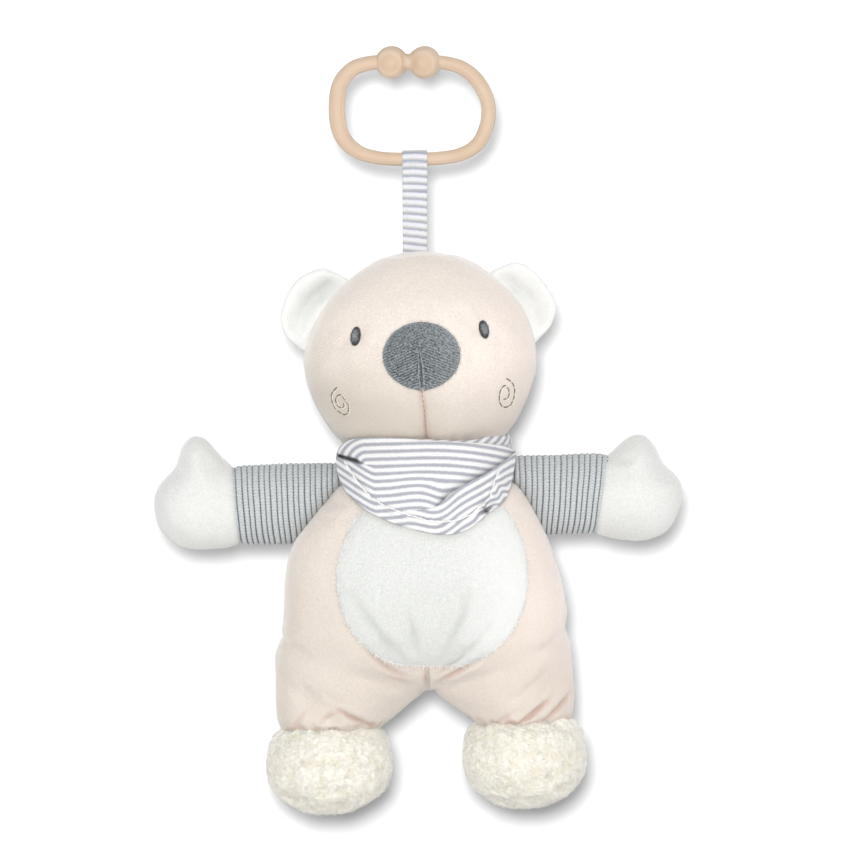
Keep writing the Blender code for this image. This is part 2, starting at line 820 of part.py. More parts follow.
def scarf_surface(across, down):
    """A place on the cloth's middle: across from -1 to 1, down from 0 to 1, with soft folds."""
    x = SCARF_WIDTH / 2 * across * (1 - SCARF_TAPER * (1 - down) ** 2)
    share = down * (SCARF_SIDE + (1 - SCARF_SIDE) * math.sqrt(max(0.0, 1 - across**2)))
    wave = SCARF_WAVE * share * math.sin(1.5 * share * math.tau)
    y = SCARF_FRONT + SCARF_WRAP * across**2 + wave - SCARF_SLOPE * share
    return Vector((x, y, level(SCARF_DOWN) - SCARF_DROP * share))


def cloth_sheet(name, corner, columns, rows, thickness, material):
    """A grid of places given by a function, thickened both ways."""

    def build(work):
        grid = [
            [work.verts.new(corner(c / columns, r / rows)) for c in range(columns + 1)]
            for r in range(rows + 1)
        ]
        for upper, lower in zip(grid, grid[1:]):
            for i in range(columns):
                work.faces.new((upper[i], lower[i], lower[i + 1], upper[i + 1]))

    sheet = add(name, mesh_of(build), material)
    solid = sheet.modifiers.new("thickness", "SOLIDIFY")
    solid.thickness = thickness
    solid.offset = 0
    return sheet


def make_scarf():
    make_band()
    front = Vector((0, -CLOTH_FOLD - SCARF_SPACING, 0))

    def upper(c, r):
        """The upper layer, whose right edge crosses down to the left."""
        edge = 1 - 0.75 * r
        return scarf_surface(-1 + (1 + edge) * c, 0.97 * r) + front

    def under(c, r):
        return scarf_surface(-0.55 + 1.55 * c, r)

    cloth_sheet("scarf_upper", upper, 13, 8, CLOTH_FOLD, JERSEY)
    cloth_sheet("scarf_under", under, 10, 8, CLOTH_FOLD, JERSEY)


make_ring()
make_ribbon()
make_head()
make_face()
make_body()
for side_name, side_way in SIDES:
    make_arm(side_name, side_way)
    make_leg(side_name, side_way)
make_scarf()
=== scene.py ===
"""The looks of a hanging plush bear: velour head and body, fleece feet, rib sleeves, jersey scarf.

Every place is in millimetres in the frame of the solids: +Z up, the face towards -Y, the origin
under the balls of the link ring. The helpers turn them into metres.
"""

import math

import bmesh
import bpy
import numpy as np
from mathutils import Matrix, Vector, noise
from mathutils.bvhtree import BVHTree


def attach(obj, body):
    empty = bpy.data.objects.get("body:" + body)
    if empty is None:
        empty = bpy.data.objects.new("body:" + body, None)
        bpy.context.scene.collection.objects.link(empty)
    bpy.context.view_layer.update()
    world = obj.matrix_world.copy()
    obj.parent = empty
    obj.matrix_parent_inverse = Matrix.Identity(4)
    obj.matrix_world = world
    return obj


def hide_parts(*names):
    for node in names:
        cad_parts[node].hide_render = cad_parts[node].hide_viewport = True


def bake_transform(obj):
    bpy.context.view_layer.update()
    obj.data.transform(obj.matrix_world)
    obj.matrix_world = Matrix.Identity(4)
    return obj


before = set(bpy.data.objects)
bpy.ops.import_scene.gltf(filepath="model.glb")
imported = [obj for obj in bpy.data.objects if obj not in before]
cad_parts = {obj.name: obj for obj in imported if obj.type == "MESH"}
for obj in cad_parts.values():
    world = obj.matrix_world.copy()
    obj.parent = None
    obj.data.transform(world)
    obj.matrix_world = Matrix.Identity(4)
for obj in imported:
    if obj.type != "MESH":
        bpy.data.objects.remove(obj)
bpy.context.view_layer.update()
MM = 0.001
SIDES = (("left", -1), ("right", 1))

# Photograph: the frame it shows and the toy's slight turn in it
PICTURE_WIDTH = 340
PICTURE_CENTRE = (1.2, -138.2)
PICTURE_TURN = math.radians(1.6)
CAMERA_AWAY = 1500

# Joints, where one body meets the next
SHOULDER_LEVEL = -167.7
RIBBON_LEVEL = -45.75
SCARF_FRONT, SCARF_LEVEL = -31.0, -148.2


# Meshes
def linked(name, mesh, material=None):
    thing = bpy.data.objects.new(name, mesh)
    bpy.context.scene.collection.objects.link(thing)
    if material is not None:
        mesh.materials.clear()
        mesh.materials.append(material)
    return thing


def built(name, places, faces, material=None, smooth=True):
    """An object from places in millimetres and faces."""
    mesh = bpy.data.meshes.new(name)
    mesh.from_pydata((np.asarray(places, float) * MM).tolist(), [], [tuple(f) for f in faces])
    mesh.validate()
    if smooth:
        mesh.shade_smooth()
    return linked(name, mesh, material)


def applied(thing):
    """Turns the object's modifiers into its mesh."""
    graph = bpy.context.evaluated_depsgraph_get()
    graph.update()
    old = thing.data
    mesh = bpy.data.meshes.new_from_object(thing.evaluated_get(graph))
    thing.modifiers.clear()
    thing.data = mesh
    bpy.data.meshes.remove(old)
    mesh.name = thing.name
    mesh.shade_smooth()
    return thing


def places_of(thing):
    """The object's vertices in millimetres."""
    flat = np.empty(len(thing.data.vertices) * 3, np.float32)
    thing.data.vertices.foreach_get("co", flat)
    return flat.reshape(-1, 3).astype(float) / MM


def normals_of(thing):
    flat = np.empty(len(thing.data.vertices) * 3, np.float32)
    thing.data.vertex_normals.foreach_get("vector", flat)
    return flat.reshape(-1, 3).astype(float)


def move_to(thing, places):
    thing.data.vertices.foreach_set("co", (places * MM).astype(np.float32).ravel())
    thing.data.update()
    return thing


def mark(thing, name, values):
    """A value at each vertex, for the materials."""
    attribute = thing.data.attributes.get(name) or thing.data.attributes.new(name, "FLOAT", "POINT")
    attribute.data.foreach_set("value", np.asarray(values, np.float32))


def marked(thing, name):
    """The value at each vertex, or 0 where none is marked yet."""
    values = np.zeros(len(thing.data.vertices), np.float32)
    if name in thing.data.attributes:
        thing.data.attributes[name].data.foreach_get("value", values)
    return values


def keep_rest(thing):
    """Each vertex's place at rest, so that patterns stay on the cloth as it bends."""
    attribute = thing.data.attributes.new("rest", "FLOAT_VECTOR", "POINT")
    attribute.data.foreach_set("vector", places_of(thing).astype(np.float32).ravel())


def settle(thing, slot, body=None, *nodes, fill=None):
    """Ends a piece: its place at rest, the body it rides on and its nodes, which are hidden. Its slot and its
    filling are not used.
    """
    keep_rest(thing)
    if body is not None:
        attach(thing, body)
    if nodes:
        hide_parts(*nodes)


def blended(thing, first, second, start, end):
    """Bakes the piece's transform into its mesh. The two bodies and the two places are not used."""
    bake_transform(thing)


def bell(far, width):
    """1 where far is 0, falling softly to 0 about two widths away."""
    return np.exp(-((far / width) ** 2))


def section(around, square=2.0):
    """Directions round a closed section: round at 2, boxier above."""
    turns = np.arange(around) * math.tau / around
    return [np.sign(d) * np.abs(d) ** (2 / square) for d in (np.cos(turns), np.sin(turns))]


def upright(flat, y=0.0):
    """Places from (x, z), at depth y."""
    return np.stack([flat[:, 0], np.broadcast_to(y, len(flat)), flat[:, 1]], 1)


def leaning(x, z, across, up, lean):
    """What lies across and up from (x, z) in axes that lean to the right."""
    c, s = math.cos(lean), math.sin(lean)
    return np.stack([x + across * c + up * s, z - across * s + up * c], -1)


def grid_faces(rows, columns):
    faces = []
    for r in range(rows - 1):
        for c in range(columns - 1):
            a = r * columns + c
            faces.append((a, a + 1, a + columns + 1, a + columns))
    return faces


def smooth_curve(values, count):
    """Catmull-Rom through rows of values, as count evenly spread rows."""
    rows = np.asarray(values, float)
    rows = np.vstack([2 * rows[0] - rows[1], rows, 2 * rows[-1] - rows[-2]])
    steps = np.linspace(0, len(rows) - 3, count)
    first = np.minimum(steps.astype(int), len(rows) - 4)
    t = (steps - first)[:, None]
    a, b, c, d = (rows[first + k] for k in range(4))
    return 0.5 * (
        2 * b + (c - a) * t + (2 * a - 5 * b + 4 * c - d) * t**2 + (3 * b - a - 3 * c + d) * t**3
    )


def tube_faces(rings, around, closed=False, caps=True):
    faces = []
    for r in range(rings if closed else rings - 1):
        here, there = r * around, (r + 1) % rings * around
        for k in range(around):
            n = (k + 1) % around
            faces.append((here + k, here + n, there + n, there + k))
    if caps and not closed:
        faces.append(tuple(range(around))[::-1])
        faces.append(tuple(range((rings - 1) * around, rings * around)))
    return faces


def lofted(sections, run="z", rings=36, around=56, square=2.15):
    """A closed form through sections (middle x, y, z, half width, half depth) along one axis."""
    rows = smooth_curve(sections, rings)
    c, s = section(around, square)
    places = []
    for x, y, z, wide, deep in rows:
        wide, deep = max(wide, 0.2), max(deep, 0.2)
        if run == "z":
            ring = np.stack([x + wide * c, y + deep * s, np.full(around, z)], 1)
        else:
            ring = np.stack([np.full(around, x), y + deep * s, z + wide * c], 1)
        places.append(ring)
    return np.vstack(places), tube_faces(rings, around)


def pillow(outline, middle, deep, reach, inner, y=0.0, rings=30, count=200):
    """A stuffed form from its outline: it rounds over within reach of its edge, but not at inner."""
    edge = rounded(outline, count)
    outside = np.abs(edge[:, 0]) > inner
    first = int(np.argmax(outside & ~np.roll(outside, 1)))
    loop = np.roll(edge, -first, axis=0)[: outside.sum()]
    places, faces = [], []
    for face in (-1, 1):
        for r in range(rings + 1):
            flat = middle + (edge - middle) * math.sin(math.pi / 2 * r / rings)
            away, _ = off_line(upright(flat), loop)
            half = deep * np.sqrt(1 - (1 - np.clip(away / reach, 0, 1)) ** 2)
            places.append(upright(flat, y + face * half))
        start = (rings + 1) * count * (face > 0)
        faces += [tuple(i + start for i in f) for f in tube_faces(rings + 1, count, caps=False)]
    last, size = rings * count, (rings + 1) * count
    for k in range(count):
        n = (k + 1) % count
        faces.append((last + k, last + n, last + size + n, last + size + k))
    return np.vstack(places), faces


def one_skin(name, forms, voxel, soften):
    """One closed skin round several forms, with soft valleys where they meet."""
    places, faces, start = [], [], 0
    for more, their_faces in forms:
        places.append(more)
        faces += [tuple(i + start for i in face) for face in their_faces]
        start += len(more)
    thing = built(name, np.vstack(places), faces)
    remesh = thing.modifiers.new("skin", "REMESH")
    remesh.mode = "VOXEL"
    remesh.voxel_size = voxel * MM
    smooth = thing.modifiers.new("soften", "SMOOTH")
    smooth.factor = 0.5
    smooth.iterations = soften
    return applied(thing)


def subdivided(thing, levels=1):
    more = thing.modifiers.new("finer", "SUBSURF")
    more.levels = more.render_levels = levels
    return applied(thing)


def filled_out(thing, held, swell, cap, frames=20):
    """Blows a skin up by at most cap against the seams that hold it, by cloth simulation."""
    start = places_of(thing)
    group = thing.vertex_groups.new(name="held")
    for index in np.nonzero(held(start))[0]:
        group.add([int(index)], 1.0, "REPLACE")
    enlarge = 2.0
    thing.data.transform(Matrix.Scale(enlarge, 4))
    cloth = thing.modifiers.new("filling", "CLOTH")
    settings = cloth.settings
    settings.quality = 5
    settings.mass = 0.2
    settings.use_pressure = True
    settings.uniform_pressure_force = 4.0
    settings.shrink_min = -swell
    settings.vertex_group_mass = "held"
    settings.effector_weights.gravity = 0
    settings.bending_stiffness = 0.5
    cloth.collision_settings.use_collision = False
    cloth.point_cache.frame_start = 1
    cloth.point_cache.frame_end = frames
    for step in range(1, frames + 1):
        bpy.context.scene.frame_set(step)
    applied(thing)
    thing.data.transform(Matrix.Scale(1 / enlarge, 4))
    moved = places_of(thing) - start
    far = np.linalg.norm(moved, axis=1, keepdims=True)
    moved *= np.minimum(1, cap / np.maximum(far, 1e-9))
    thing.vertex_groups.clear()
    bpy.context.scene.frame_set(1)
    return move_to(thing, start + moved)


def thickened(sheet, thick):
    more = sheet.modifiers.new("thickness", "SOLIDIFY")
    more.thickness = thick * MM
    more.offset = 0
    return applied(sheet)


def lumps(places, size, seed=0.0):
    """Soft noise about 0 at each place, its lumps about size millimetres across."""
    offset = Vector((seed, 1.7 * seed, 0.3 * seed))
    return np.array([noise.noise(Vector(p) / size + offset) for p in places])


def in_picture(places):
    """Where the camera sees each place, as (x, z) on the toy's middle plane."""
    middle = np.array(PICTURE_CENTRE)
    return middle + (places[:, [0, 2]] - middle) * (CAMERA_AWAY / (CAMERA_AWAY + places[:, 1:2]))


def off_line(places, path):
    """Distance in the picture from each place to a path of (x, z), and how far along it."""
    points = np.asarray(path, float)
    flat = in_picture(places)
    nearest = np.full(len(flat), 1e9)
    share = np.zeros(len(flat))
    for k, (a, b) in enumerate(zip(points, points[1:])):
        d = b - a
        t = np.clip(((flat - a) @ d) / (d @ d), 0, 1)
        far = np.linalg.norm(flat - (a + t[:, None] * d), axis=1)
        closer = far < nearest
        nearest[closer] = far[closer]
        share[closer] = (k + t[closer]) / (len(points) - 1)
    return nearest, share


def crease(thing, path, width, depth, front=True, fade=0.35, tone=1.0):
    """A valley with soft shoulders pressed into a skin, along a path in the front view, with painted shade marked
    as fold in it, scaled by tone.
    """
    places, out = places_of(thing), normals_of(thing)
    far, share = off_line(places, path)
    ends = np.clip(np.minimum(share, 1 - share) / max(fade, 1e-3), 0, 1)
    facing = np.clip(-out[:, 1] * (1 if front else -1) * 2, 0, 1)
    valley = -bell(far, width) + 0.35 * bell(far - 1.9 * width, width)
    press = depth * ends**0.5 * facing
    # Painted shade down in the crease, marked as fold and scaled by tone.
    mark(thing, "fold", marked(thing, "fold") + tone * press / width * bell(far, width))
    return move_to(thing, places + out * (press * valley)[:, None])


def uneven(thing, *layers):
    """Moves a skin in and out by soft noise, in layers of height, lump size and seed."""
    places = places_of(thing)
    high = sum(height * lumps(places, size, seed) for height, size, seed in layers)
    return move_to(thing, places + normals_of(thing) * high[:, None])


class Front:
    """The front of a skin, to lay patches and threads on."""

    def __init__(self, *things):
        corners, faces, start = [], [], 0
        for thing in things:
            corners += [v.co / MM for v in thing.data.vertices]
            faces += [tuple(i + start for i in p.vertices) for p in thing.data.polygons]
            start = len(corners)
        self.tree = BVHTree.FromPolygons(corners, faces)

    def at(self, x, z):
        """The place and normal of the skin that the camera sees at (x, z)."""
        start = Vector((PICTURE_CENTRE[0], -CAMERA_AWAY, PICTURE_CENTRE[1]))
        hit, out, _, _ = self.tree.ray_cast(start, (Vector((x, 0, z)) - start).normalized())
        if hit is None:
            hit, out, _, _ = self.tree.find_nearest(Vector((x, 0, z)))
        return np.array(hit), np.array(out)


def laid(name, front, outline, height, material, rings=24, centre=None):
    """A patch on a skin: rings from its middle to its outline, raised by height(place, share)."""
    edge = np.asarray(outline, float)
    middle = edge.mean(0) if centre is None else np.asarray(centre, float)
    count = len(edge)
    places, shares = [], []
    for r in range(rings + 1):
        share = 1 - (1 - r / rings) ** 1.5
        for point in middle + (edge - middle) * share:
            skin, out = front.at(*point)
            places.append(skin + out * height(skin, share))
            shares.append(share)
    for point in edge:
        skin, out = front.at(*point)
        places.append(skin - out * 0.6)
        shares.append(1.0)
    faces = [tuple(range(count))]
    for r in range(rings + 1):
        for k in range(count):
            a, b = r * count + k, r * count + (k + 1) % count
            faces.append((a, a + count, b + count, b))
    thing = built(name, places, faces, material)
    mark(thing, "share", shares)
    return thing


def rounded(points, count):
    """A closed smooth outline through (x, z) points."""
    loop = np.asarray(points, float)
    wrapped = np.vstack([loop[-2:], loop, loop[:3]])
    dense = smooth_curve(wrapped, 40 * len(wrapped))
    first = np.argmin(np.linalg.norm(dense[:120] - loop[0], axis=1))
    span = 40 * len(wrapped) / (len(wrapped) - 1) * len(loop)
    picks = first + np.arange(count) / count * span
    return dense[np.minimum(picks.astype(int), len(dense) - 1)]


def oval(x, z, half_width, half_height, count, lean=0.0, low=1.0):
    """An oval of (x, z) points, narrower towards its foot where low is under 1."""
    c, s = section(count)
    across = half_width * c * np.where(s < 0, 1 + (low - 1) * s**2, 1)
    return leaning(x, z, across, half_height * s, lean)


def thread(name, runs, radius, material, sides=6):
    """Lengths of thread as one mesh, each run a list of places, thinner at its ends."""
    places, faces, start = [], [], 0
    for run in runs:
        run = np.asarray(run, float)
        ahead = np.gradient(run, axis=0)
        ahead /= np.maximum(np.linalg.norm(ahead, axis=1, keepdims=True), 1e-9)
        side = np.cross(ahead, (0.13, 1.0, 0.21))
        side /= np.maximum(np.linalg.norm(side, axis=1, keepdims=True), 1e-9)
        up = np.cross(side, ahead)
        size = radius * (1 - 0.55 * np.abs(np.linspace(-1, 1, len(run))) ** 6)
        turns = np.arange(sides) * math.tau / sides
        for point, s, u, r in zip(run, side, up, size):
            places += [point + r * (math.cos(a) * s + math.sin(a) * u) for a in turns]
        faces += [tuple(i + start for i in f) for f in tube_faces(len(run), sides)]
        start += len(run) * sides
    return built(name, places, faces, material)


def sewn(name, runs, radius, material, slot, body, *nodes, sides=6):
    """Thread that rides on a body."""
    settle(thread(name, runs, radius, material, sides), slot, body, *nodes)


def stitches(front, path, length, spacing, lift, steps=5):
    """A path of (x, z) on a skin as separate stitches that dive into it at their ends."""
    route = smooth_curve(path, 30 * len(path))
    along = np.concatenate([[0], np.cumsum(np.linalg.norm(np.diff(route, axis=0), axis=1))])
    runs = []
    for start in np.arange(0, along[-1] - 0.4 * length, length + spacing):
        run = []
        for t in np.linspace(0, 1, steps):
            far = min(start + t * length, along[-1])
            skin, out = front.at(*(np.interp(far, along, route[:, k]) for k in (0, 1)))
            run.append(skin + out * lift * (1 - 1.6 * abs(2 * t - 1) ** 3))
        runs.append(run)
    return runs


# Materials
class Recipe:
    """A node tree that is filled by naming a node's kind, its settings and what goes into it."""

    def __init__(self, tree):
        self.tree = tree

    def link(self, value, socket):
        self.tree.links.new(value, socket)

    def feed(self, node, into):
        for socket, value in into.items():
            if isinstance(value, bpy.types.NodeSocket):
                self.link(value, node.inputs[socket])
            else:
                node.inputs[socket].default_value = value
        return node

    def add(self, kind, into=None, **settings):
        node = self.tree.nodes.new("ShaderNode" + kind)
        for name, value in settings.items():
            setattr(node, name, value)
        return self.feed(node, into or {})

    def math(self, operation, *values, clamp=False):
        return self.add("Math", dict(enumerate(values)), operation=operation, use_clamp=clamp).outputs[0]

    def plus(self, first, *others, clamp=False):
        for other in others:
            first = self.math("ADD", first, other, clamp=clamp and other is others[-1])
        return first

    def times(self, first, *others):
        for other in others:
            first = self.math("MULTIPLY", first, other)
        return first

    def off(self, value, middle):
        return self.math("SUBTRACT", value, middle)

    def waves(self, value, pitch):
        """A sine of a distance that comes round again at each pitch."""
        return self.math("SINE", self.times(value, math.tau / pitch))

    def mix(self, share, first, second):
        given = (first, second)
        colours = [value if isinstance(value, bpy.types.NodeSocket) else opaque(value) for value in given]
        return self.feed(self.add("Mix", data_type="RGBA"), {0: share, 6: colours[0], 7: colours[1]}).outputs[2]

    def noise(self, vector, scale, detail=2.0, rough=0.5):
        into = {"Vector": vector, "Scale": scale, "Detail": detail, "Roughness": rough}
        return self.add("TexNoise", into).outputs[0]

    def spread(self, value, low, high, to_low=0.0, to_high=1.0):
        """A value stretched from one range to another and kept inside it."""
        into = {"Value": value, "From Min": low, "From Max": high, "To Min": to_low, "To Max": to_high}
        return self.add("MapRange", into).outputs[0]

    def kept(self, name):
        """A number kept at each vertex."""
        return self.add("Attribute", attribute_name=name).outputs["Fac"]

    def rest(self):
        """Each vertex's place at rest, with its x, y and z."""
        place = self.add("Attribute", attribute_name="rest").outputs["Vector"]
        return place, *self.add("SeparateXYZ", {0: place}).outputs

    def group(self, tree, **into):
        """A shared effect, with its named sockets set."""
        named = {socket.replace("_", " "): value for socket, value in into.items()}
        return self.feed(self.add("Group", node_tree=tree), named).outputs


def opaque(colour):
    return (*colour[:3], 1)


def effect(name, takes, gives):
    """An empty node group with named values going in and coming out."""
    group = bpy.data.node_groups.new(name, "ShaderNodeTree")
    for socket, value in takes.items():
        kind = "NodeSocketColor" if isinstance(value, tuple) else "NodeSocketFloat"
        group.interface.new_socket(socket, in_out="INPUT", socket_type=kind).default_value = value
    for socket, kind in gives.items():
        group.interface.new_socket(socket, in_out="OUTPUT", socket_type=kind)
    given, made = (group.nodes.new(f"NodeGroup{way}") for way in ("Input", "Output"))
    return group, Recipe(group), given.outputs, made.inputs


def pile_effect():
    """Short pile: tufts that catch the light one by one, over slow changes of shade."""
    light, dark = (0.8, 0.8, 0.8, 1), (0.6, 0.6, 0.6, 1)
    takes = {"Colour": light, "Shade": dark, "Tuft Size": 1.0, "Speckle": 0.3, "Patchiness": 0.3}
    group, recipe, given, made = effect("pile", takes, {"Colour": "NodeSocketColor", "Height": "NodeSocketFloat"})
    rest = recipe.rest()[0]
    tufts = recipe.noise(rest, recipe.math("DIVIDE", 1.1, given["Tuft Size"]), 3.0, 0.65)
    fine = recipe.noise(rest, recipe.math("DIVIDE", 2.7, given["Tuft Size"]), 2.0, 0.6)
    slow = recipe.noise(rest, 0.05)
    height = recipe.plus(tufts, recipe.times(fine, 0.6))
    speckle = recipe.times(recipe.spread(height, 1.02, 0.62), given["Speckle"])
    patches = recipe.times(recipe.spread(slow, 0.35, 0.68), given["Patchiness"])
    share = recipe.plus(speckle, patches, clamp=True)
    recipe.link(recipe.mix(share, given["Colour"], given["Shade"]), made["Colour"])
    recipe.link(height, made["Height"])
    return group


def knit_effect():
    """Rows of knit loops, seen as fine slanting stitches across the rows."""
    group, recipe, given, made = effect("knit", {"Pitch": 0.8, "Slant": 0.5}, {"Height": "NodeSocketFloat"})
    rest, x, _, z = recipe.rest()
    turn = recipe.math("DIVIDE", math.tau, given["Pitch"])
    rows = recipe.math("SINE", recipe.times(recipe.plus(z, recipe.times(x, given["Slant"])), turn))
    loops = recipe.math("SINE", recipe.times(recipe.off(x, recipe.times(z, 0.3)), turn))
    recipe.link(recipe.plus(recipe.times(rows, loops), recipe.noise(rest, 0.9)), made["Height"])
    return group


PILE = pile_effect()
KNIT = knit_effect()


def finish(name, colour, roughness, sheen=0.0, specular=0.2):
    """A material with its shader, ready to be fed. Returns it with its recipe and shader."""
    material = bpy.data.materials.new(name)
    material.use_nodes = True
    recipe = Recipe(material.node_tree)
    shader = material.node_tree.nodes["Principled BSDF"]
    into = {
        "Base Color": opaque(colour),
        "Roughness": roughness,
        "Specular IOR Level": specular,
        "Sheen Weight": sheen,
        "Sheen Roughness": 0.4,
    }
    recipe.feed(shader, into)
    return material, recipe, shader


def coat(recipe, shader, colour, height, strength, distance):
    """Feeds the shader its colour, and a height as a bump of a distance in millimetres."""
    recipe.link(colour, shader.inputs["Base Color"])
    bump = recipe.add("Bump", {"Height": height, "Strength": strength, "Distance": distance * MM})
    recipe.link(bump.outputs[0], shader.inputs["Normal"])


def pile_cloth(name, colour, shade, tuft, speckle, patchiness, sheen, depth, tone=None):
    """Velour, plush or fleece. tone(recipe, colour) may change the colour further, with painted light and shade.
    """
    material, recipe, shader = finish(name, colour, 0.95, sheen, specular=0.1)
    pile = recipe.group(
        PILE, Colour=opaque(colour), Shade=opaque(shade), Tuft_Size=tuft, Speckle=speckle, Patchiness=patchiness
    )
    out = pile["Colour"] if tone is None else tone(recipe, pile["Colour"])
    coat(recipe, shader, out, pile["Height"], 0.5, depth)
    return material


def nap_rows_painted_light_and_shade(recipe, colour):
    """The nap lies in fine slanting rows; painted light makes it pinker on the right, and painted shade darkens it
    low on the left, under the chin, low on the body and legs and in its folds.
    """
    rest, x, _, z = recipe.rest()
    # Painted light: pinker towards the right.
    colour = recipe.mix(recipe.spread(x, 5, 60, 0, 0.5), colour, (0.91, 0.78, 0.73))
    # Painted shade: darker and beiger low on the head's left and under the chin.
    head_shade_low_left = recipe.times(recipe.spread(x, 14, -40), recipe.spread(z, -98, -140))
    head_shade_under_chin = recipe.spread(z, -112, -145)
    above_chest = recipe.spread(z, -152, -146)
    shaded = recipe.times(recipe.plus(head_shade_low_left, head_shade_under_chin, clamp=True), above_chest)
    colour = recipe.mix(recipe.times(shaded, 0.7), colour, (0.52, 0.465, 0.40))
    wander = recipe.times(recipe.noise(rest, 0.12), 2.6)
    rows = recipe.waves(recipe.plus(recipe.times(x, 0.5), recipe.times(z, -0.866), wander), 1.05)
    patchy = recipe.spread(recipe.noise(rest, 0.06, 1.0), 0.42, 0.62)
    patchy = recipe.times(patchy, recipe.spread(x, 30, -10, 0.25, 1.0))
    strong = recipe.plus(recipe.times(shaded, 0.35), 0.22)
    strong = recipe.times(strong, recipe.spread(z, -84, -108, 0.35, 1.0))
    dark = recipe.times(recipe.spread(rows, -0.2, 1.0), strong, patchy)
    colour = recipe.mix(dark, colour, (0.50, 0.44, 0.36))
    # Painted shade: darker towards the bottom of the body and legs.
    body_shade_low_left = recipe.times(recipe.spread(z, -158, -215, 0, 0.4), recipe.spread(x, 20, 45, 1, 0))
    body_shade_low_right = recipe.times(recipe.spread(z, -212, -240, 0.1, 0.5), recipe.spread(x, 20, 45, 0, 1))
    colour = recipe.mix(recipe.plus(body_shade_low_left, body_shade_low_right), colour, (0.52, 0.455, 0.39))
    # Painted shade down in the creases marked as fold.
    return recipe.mix(recipe.spread(recipe.kept("fold"), 0.15, 1.3, 0, 0.65), colour, (0.52, 0.335, 0.27))


def painted_shade_in_folds(recipe, colour):
    """Painted shade: white velour drawn greyer down in its folds, where fold is marked."""
    return recipe.mix(recipe.spread(recipe.kept("fold"), 0.0, 1.0, 0, 0.6), colour, (0.48, 0.49, 0.46))


def belly_painted_light_and_shade(recipe, colour):
    """Painted light and shade on the belly's plush: lighter on the right, darker low on the left towards its foot,
    and greyer down in its folds.
    """
    _, x, _, z = recipe.rest()
    # Painted shade: darker low on the left, towards the patch's foot.
    low = recipe.times(recipe.spread(z, -198, -232, 0, 0.38), recipe.spread(x, 36, 12))
    colour = recipe.mix(low, colour, (0.55, 0.555, 0.53))
    # Painted light: lighter towards the right.
    colour = recipe.mix(recipe.spread(x, 10, 38, 0, 0.8), colour, (0.81, 0.815, 0.795))
    return painted_shade_in_folds(recipe, colour)


def painted_shade_between_curls(recipe, colour):
    """Painted shade: fleece drawn deeper and yellower down between its curls, where hollow is marked."""
    return recipe.mix(recipe.spread(recipe.kept("hollow"), 0.25, 1.0, 0, 0.6), colour, (0.66, 0.59, 0.40))


def striped(name, light, dark, pitch, share, soft, edge=None, knit=0.5):
    """Jersey or ribbon whose stripes are placed by a distance kept at each vertex as stripe."""
    material, recipe, shader = finish(name, light, 0.9, 0.1, specular=0.15)
    rest = recipe.rest()[0]
    wander = recipe.times(recipe.off(recipe.noise(rest, 0.9, 4.0, 0.7), 0.5), 0.26)
    phase = recipe.math("FRACT", recipe.plus(recipe.math("DIVIDE", recipe.kept("stripe"), pitch), wander))
    inside = recipe.spread(recipe.math("ABSOLUTE", recipe.off(phase, 0.5)), share / 2 + soft, share / 2 - soft)
    fleck = recipe.spread(recipe.noise(rest, 2.4, 3.0, 0.7), 0.35, 0.65)
    worn = recipe.mix(recipe.times(fleck, 0.28), dark, tuple(0.55 * a + 0.45 * b for a, b in zip(dark, light)))
    pale = recipe.mix(recipe.times(fleck, 0.10), light, tuple(0.8 * a for a in light))
    colour = recipe.mix(inside, pale, worn)
    if edge is not None:
        rim = recipe.math("ABSOLUTE", recipe.off(phase, 0.5 + share / 2 + soft))
        colour = recipe.mix(recipe.times(recipe.spread(rim, 0.14, 0.02), 0.75), colour, edge)
    # Painted shade where fold is marked: the lap's shadow, the dark slot and the pucker.
    colour = recipe.mix(recipe.kept("fold"), colour, tuple(0.42 * a for a in dark))
    coat(recipe, shader, colour, recipe.group(KNIT, Pitch=0.6, Slant=0.4)["Height"], knit, 0.05)
    return material


def threaded(name, colour, light, roughness=0.55):
    """Twisted embroidery thread: fine light strands over its colour."""
    material, recipe, shader = finish(name, colour, roughness, 0.3, specular=0.35)
    strands = recipe.noise(recipe.rest()[0], 3.2, 3.0, 0.7)
    colour = recipe.mix(recipe.spread(strands, 0.4, 0.62, 0, 0.7), colour, light)
    coat(recipe, shader, colour, strands, 0.6, 0.12)
    return material


def satin_eye():
    """Satin stitch: strands side by side, dark at the rim, with a painted sheen that makes them paler where they
    bulge.
    """
    material, recipe, shader = finish("eye_satin", (0.1, 0.12, 0.12), 0.45, 0.2, specular=0.4)
    rest, _, _, z = recipe.rest()
    rows = recipe.waves(z, 0.55)
    bulge = recipe.plus(recipe.kept("share"), recipe.times(recipe.off(recipe.noise(rest, 1.5), 0.5), 0.9))
    # Painted sheen: paler where the strands bulge, changing along the rows.
    pale = recipe.times(recipe.spread(bulge, 0.80, 0.35), recipe.spread(rows, -1, 1, 0.6, 1.0))
    coat(recipe, shader, recipe.mix(pale, (0.05, 0.06, 0.057), (0.34, 0.375, 0.38)), rows, 0.7, 0.15)
    return material


